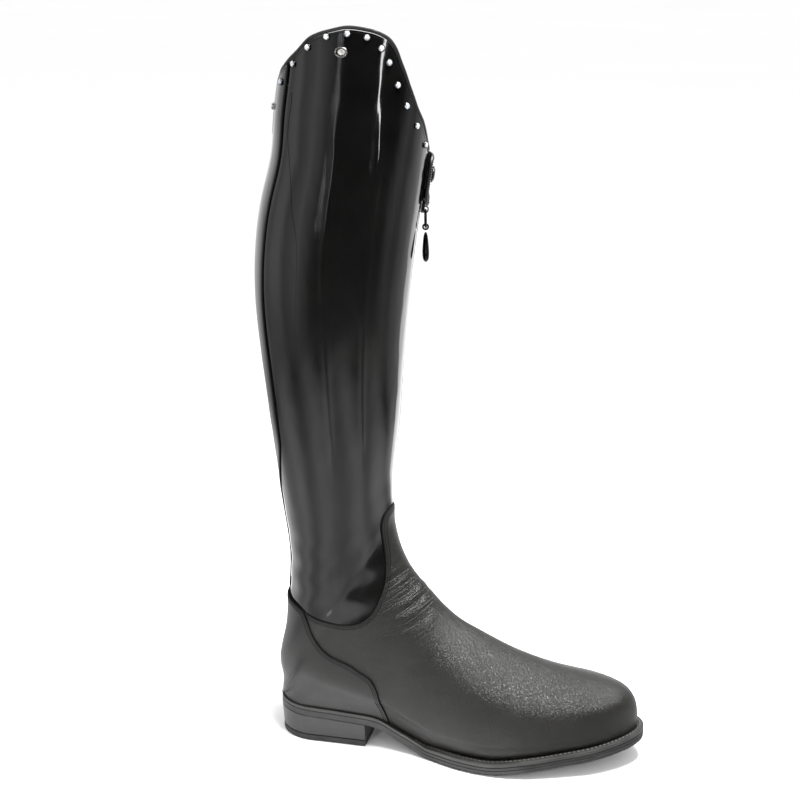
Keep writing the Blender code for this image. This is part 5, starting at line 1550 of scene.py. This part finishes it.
def make_boot():
    calf = leather("foot_calf", (0.0056, 0.0053, 0.0047), (0.0095, 0.0091, 0.0081), (0.30, 0.39),
                   1250.0, 0.00024, worn=True)
    counter_calf = leather("counter_calf", (0.0060, 0.0058, 0.0054), (0.0100, 0.0097, 0.0090),
                           (0.27, 0.36), 1600.0, 0.00008)
    binding = leather("binding_calf", 3 * (0.006,), 3 * (0.010,), (0.34, 0.50), 1300.0, 0.00006)
    patent = patent_leather()
    lining = leather("lining_calf", (0.030, 0.027, 0.025), (0.050, 0.046, 0.042), (0.55, 0.70),
                     1700.0, 0.00004)
    rubber = lined_material("edge_rubber", 3 * (0.0070,), (0.0130, 0.0130, 0.0125), (0.40, 0.52),
                            420.0, 0.00006)
    tread = lined_material("tip_rubber", 3 * (0.0060,), 3 * (0.0100,), (0.50, 0.65), 420.0, 0.00008)
    heel_leather = lined_material("stacked_heel", (0.0100, 0.0098, 0.0095), (0.0180, 0.0176, 0.0170),
                                  (0.28, 0.40), 520.0, 0.00006)
    welt = lined_material("welt_calf", (0.0140, 0.0138, 0.0132), (0.0300, 0.0295, 0.0280),
                          (0.38, 0.52), 420.0, 0.00006)
    cloth = woven("tape_twill", 3 * (0.006,), 3 * (0.016,), 420.0)
    # Near black and dull: ink on the cut edges, and painted shade for the dark gap along the panels'
    # seams
    ink_and_seam_shade = leather("edge_ink_and_seam_shade", 3 * (0.0015,), 3 * (0.0030,), (0.60, 0.75), 1500.0, 0.00004, shine=0.08)
    thread = thread_material("black_thread", 3 * (0.0012,), (0.0040, 0.0040, 0.0038), 0.60)
    pale_thread = thread_material("grey_thread", (0.055, 0.054, 0.050), (0.14, 0.137, 0.128), 0.60)
    dark = metal("dark_plating", (0.045, 0.045, 0.048), (0.085, 0.085, 0.088), (0.22, 0.36))
    coated = metal("black_enamel", (0.020, 0.020, 0.021), (0.040, 0.040, 0.041), (0.18, 0.28))
    plate_metal = metal("plate_steel", (0.16, 0.155, 0.15), (0.30, 0.29, 0.28), (0.18, 0.30))
    crystal = crystal_material()
    make_sole(rubber, tread, welt, heel_leather, lining, pale_thread)
    make_foot(calf, counter_calf, lining, thread, ink_and_seam_shade)
    make_leg(patent, binding, lining, thread, ink_and_seam_shade)
    make_zip(cloth, dark)
    hinge, around = make_slider(dark)
    make_puller(hinge, around, dark, coated)
    make_tab(binding, dark, thread)
    make_trim(crystal, dark, plate_metal)


def emitter(name, middle, target, width, height, power):
    """Soft light that the camera doesn't see."""
    data = bpy.data.lights.new(name, "AREA")
    data.shape = "RECTANGLE"
    data.size, data.size_y = width, height
    data.energy = power
    lamp = bpy.data.objects.new(name, data)
    lamp.location = middle
    lamp.rotation_euler = (Vector(target) - Vector(middle)).to_track_quat("-Z", "Y").to_euler()
    lamp.visible_camera = False
    bpy.context.scene.collection.objects.link(lamp)


def make_room():
    """Pale floor, white surroundings, and the dark screen that the patent leg mirrors."""
    scene = bpy.context.scene
    scene.view_settings.view_transform = "Standard"
    scene.view_settings.look = "None"
    world = bpy.data.worlds.new("white_room")
    world.use_nodes = True
    world.node_tree.nodes["Background"].inputs["Color"].default_value = (1.0, 1.0, 1.0, 1.0)
    world.node_tree.nodes["Background"].inputs["Strength"].default_value = WORLD_LIGHT
    scene.world = world
    pale, tree, shader, place = new_material("pale_floor", Roughness=0.85, Specular_IOR_Level=0.2)
    vary(tree, shader, "Base Color", noise(tree, place, 0.8, 2.0), 3 * (0.90,), 3 * (0.93,), (0.0, 1.0))
    reach = FLOOR_REACH
    floor_mesh = bpy.data.meshes.new("floor")
    corners = [(-reach, -reach, 0), (reach, -reach, 0), (reach, reach, 0), (-reach, reach, 0)]
    floor_mesh.from_pydata(corners, [], [(0, 1, 2, 3)])
    floor_mesh.materials.append(pale)
    floor = bpy.data.objects.new("floor", floor_mesh)
    floor.location.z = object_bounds()[0][2] - FLOOR_GAP
    scene.collection.objects.link(floor)

    shade, tree, shader, _ = new_material("screen_shade", Roughness=1.0, Specular_IOR_Level=0.0)
    shader.inputs["Base Color"].default_value = (0.0, 0.0, 0.0, 1.0)
    shader.inputs["Emission Strength"].default_value = 1.0
    tint = node(tree, "ShaderNodeVertexColor", layer_name="tone").outputs["Color"]
    tree.links.new(tint, shader.inputs["Emission Color"])
    toward = np.array([math.sin(CAMERA_TURN), -math.cos(CAMERA_TURN)])
    right = np.array([math.cos(CAMERA_TURN), math.sin(CAMERA_TURN)])
    angles, tones = np.array(SCREEN_TONES).T
    spread = np.linspace(angles[0], angles[-1], 121)
    points, levels = [], []
    for reach_out, height, own, weight in SCREEN_PROFILE:
        for angle, tone in zip(np.radians(spread), np.interp(spread, angles, tones)):
            flat = reach_out * (math.cos(angle) * toward + math.sin(angle) * right) + (0.02, 0.0)
            points.append((flat[0], flat[1], height))
            patch = 0.30 * math.sin(7 * angle + 9 * reach_out) * (1 if weight > 0.8 else 0)
            levels.append(max(0.0, tone * (1 - weight) + (own + patch) * weight))
    count = len(spread)
    faces = [(row * count + k, row * count + k + 1, (row + 1) * count + k + 1, (row + 1) * count + k)
             for row in range(len(SCREEN_PROFILE) - 1) for k in range(count - 1)]
    level = np.array(levels)
    screen_mesh = bpy.data.meshes.new("room_screen")
    screen_mesh.from_pydata(points, [], faces)
    screen_mesh.materials.append(shade)
    tone = screen_mesh.color_attributes.new("tone", "FLOAT_COLOR", "POINT")
    tone.data.foreach_set("color", np.stack([level, level, level, 0 * level + 1], 1).ravel())
    screen = bpy.data.objects.new("room_screen", screen_mesh)
    scene.collection.objects.link(screen)
    for way in ("camera", "diffuse", "shadow", "transmission", "volume_scatter"):
        setattr(screen, f"visible_{way}", False)

    def spot(angle, distance, height):
        angle = math.radians(angle)
        flat = distance * (math.cos(angle) * toward + math.sin(angle) * right)
        return (flat[0] + 0.02, flat[1], height)
    emitter("left_strip", spot(-24, 1.05, 0.42), (0.02, 0.0, 0.40), 0.050, 0.32, 2.2)
    emitter("centre_strip", spot(30, 0.74, 0.42), (0.02, 0.0, 0.40), 0.030, 0.24, 0.40)
    emitter("vamp_strip", (0.34, -0.10, 1.20), (0.12, 0.0, 0.06), 0.60, 0.22, 34.0)


def make_camera():
    """Camera of the photograph: slightly from the toe side, above and looking down."""
    toward = Vector((math.sin(CAMERA_TURN), -math.cos(CAMERA_TURN), 0.0))
    right = Vector((math.cos(CAMERA_TURN), math.sin(CAMERA_TURN), 0.0))
    rise = Vector((0.0, 0.0, 1.0))
    place = Vector((CAMERA_ALONG, 0.0, 0.0)) + toward * CAMERA_DISTANCE + rise * CAMERA_HEIGHT
    forward = -toward * math.cos(CAMERA_PITCH) - rise * math.sin(CAMERA_PITCH)
    up = rise * math.cos(CAMERA_PITCH) - toward * math.sin(CAMERA_PITCH)
    focal = CAMERA_LENS / SENSOR_WIDTH
    forward = (forward - right * CAMERA_ASIDE / focal).normalized()
    side = forward.cross(up).normalized()
    up = side.cross(forward)
    data = bpy.data.cameras.new("photo_view")
    data.sensor_width = SENSOR_WIDTH
    data.lens = CAMERA_LENS
    data.clip_end = 100.0
    camera = bpy.data.objects.new("photo_view", data)
    turn = Matrix((side, up, -forward)).transposed()
    camera.matrix_world = Matrix.Translation(place) @ turn.to_4x4()
    bpy.context.scene.collection.objects.link(camera)
    bpy.context.scene.camera = camera


make_camera()
make_room()
make_boot()
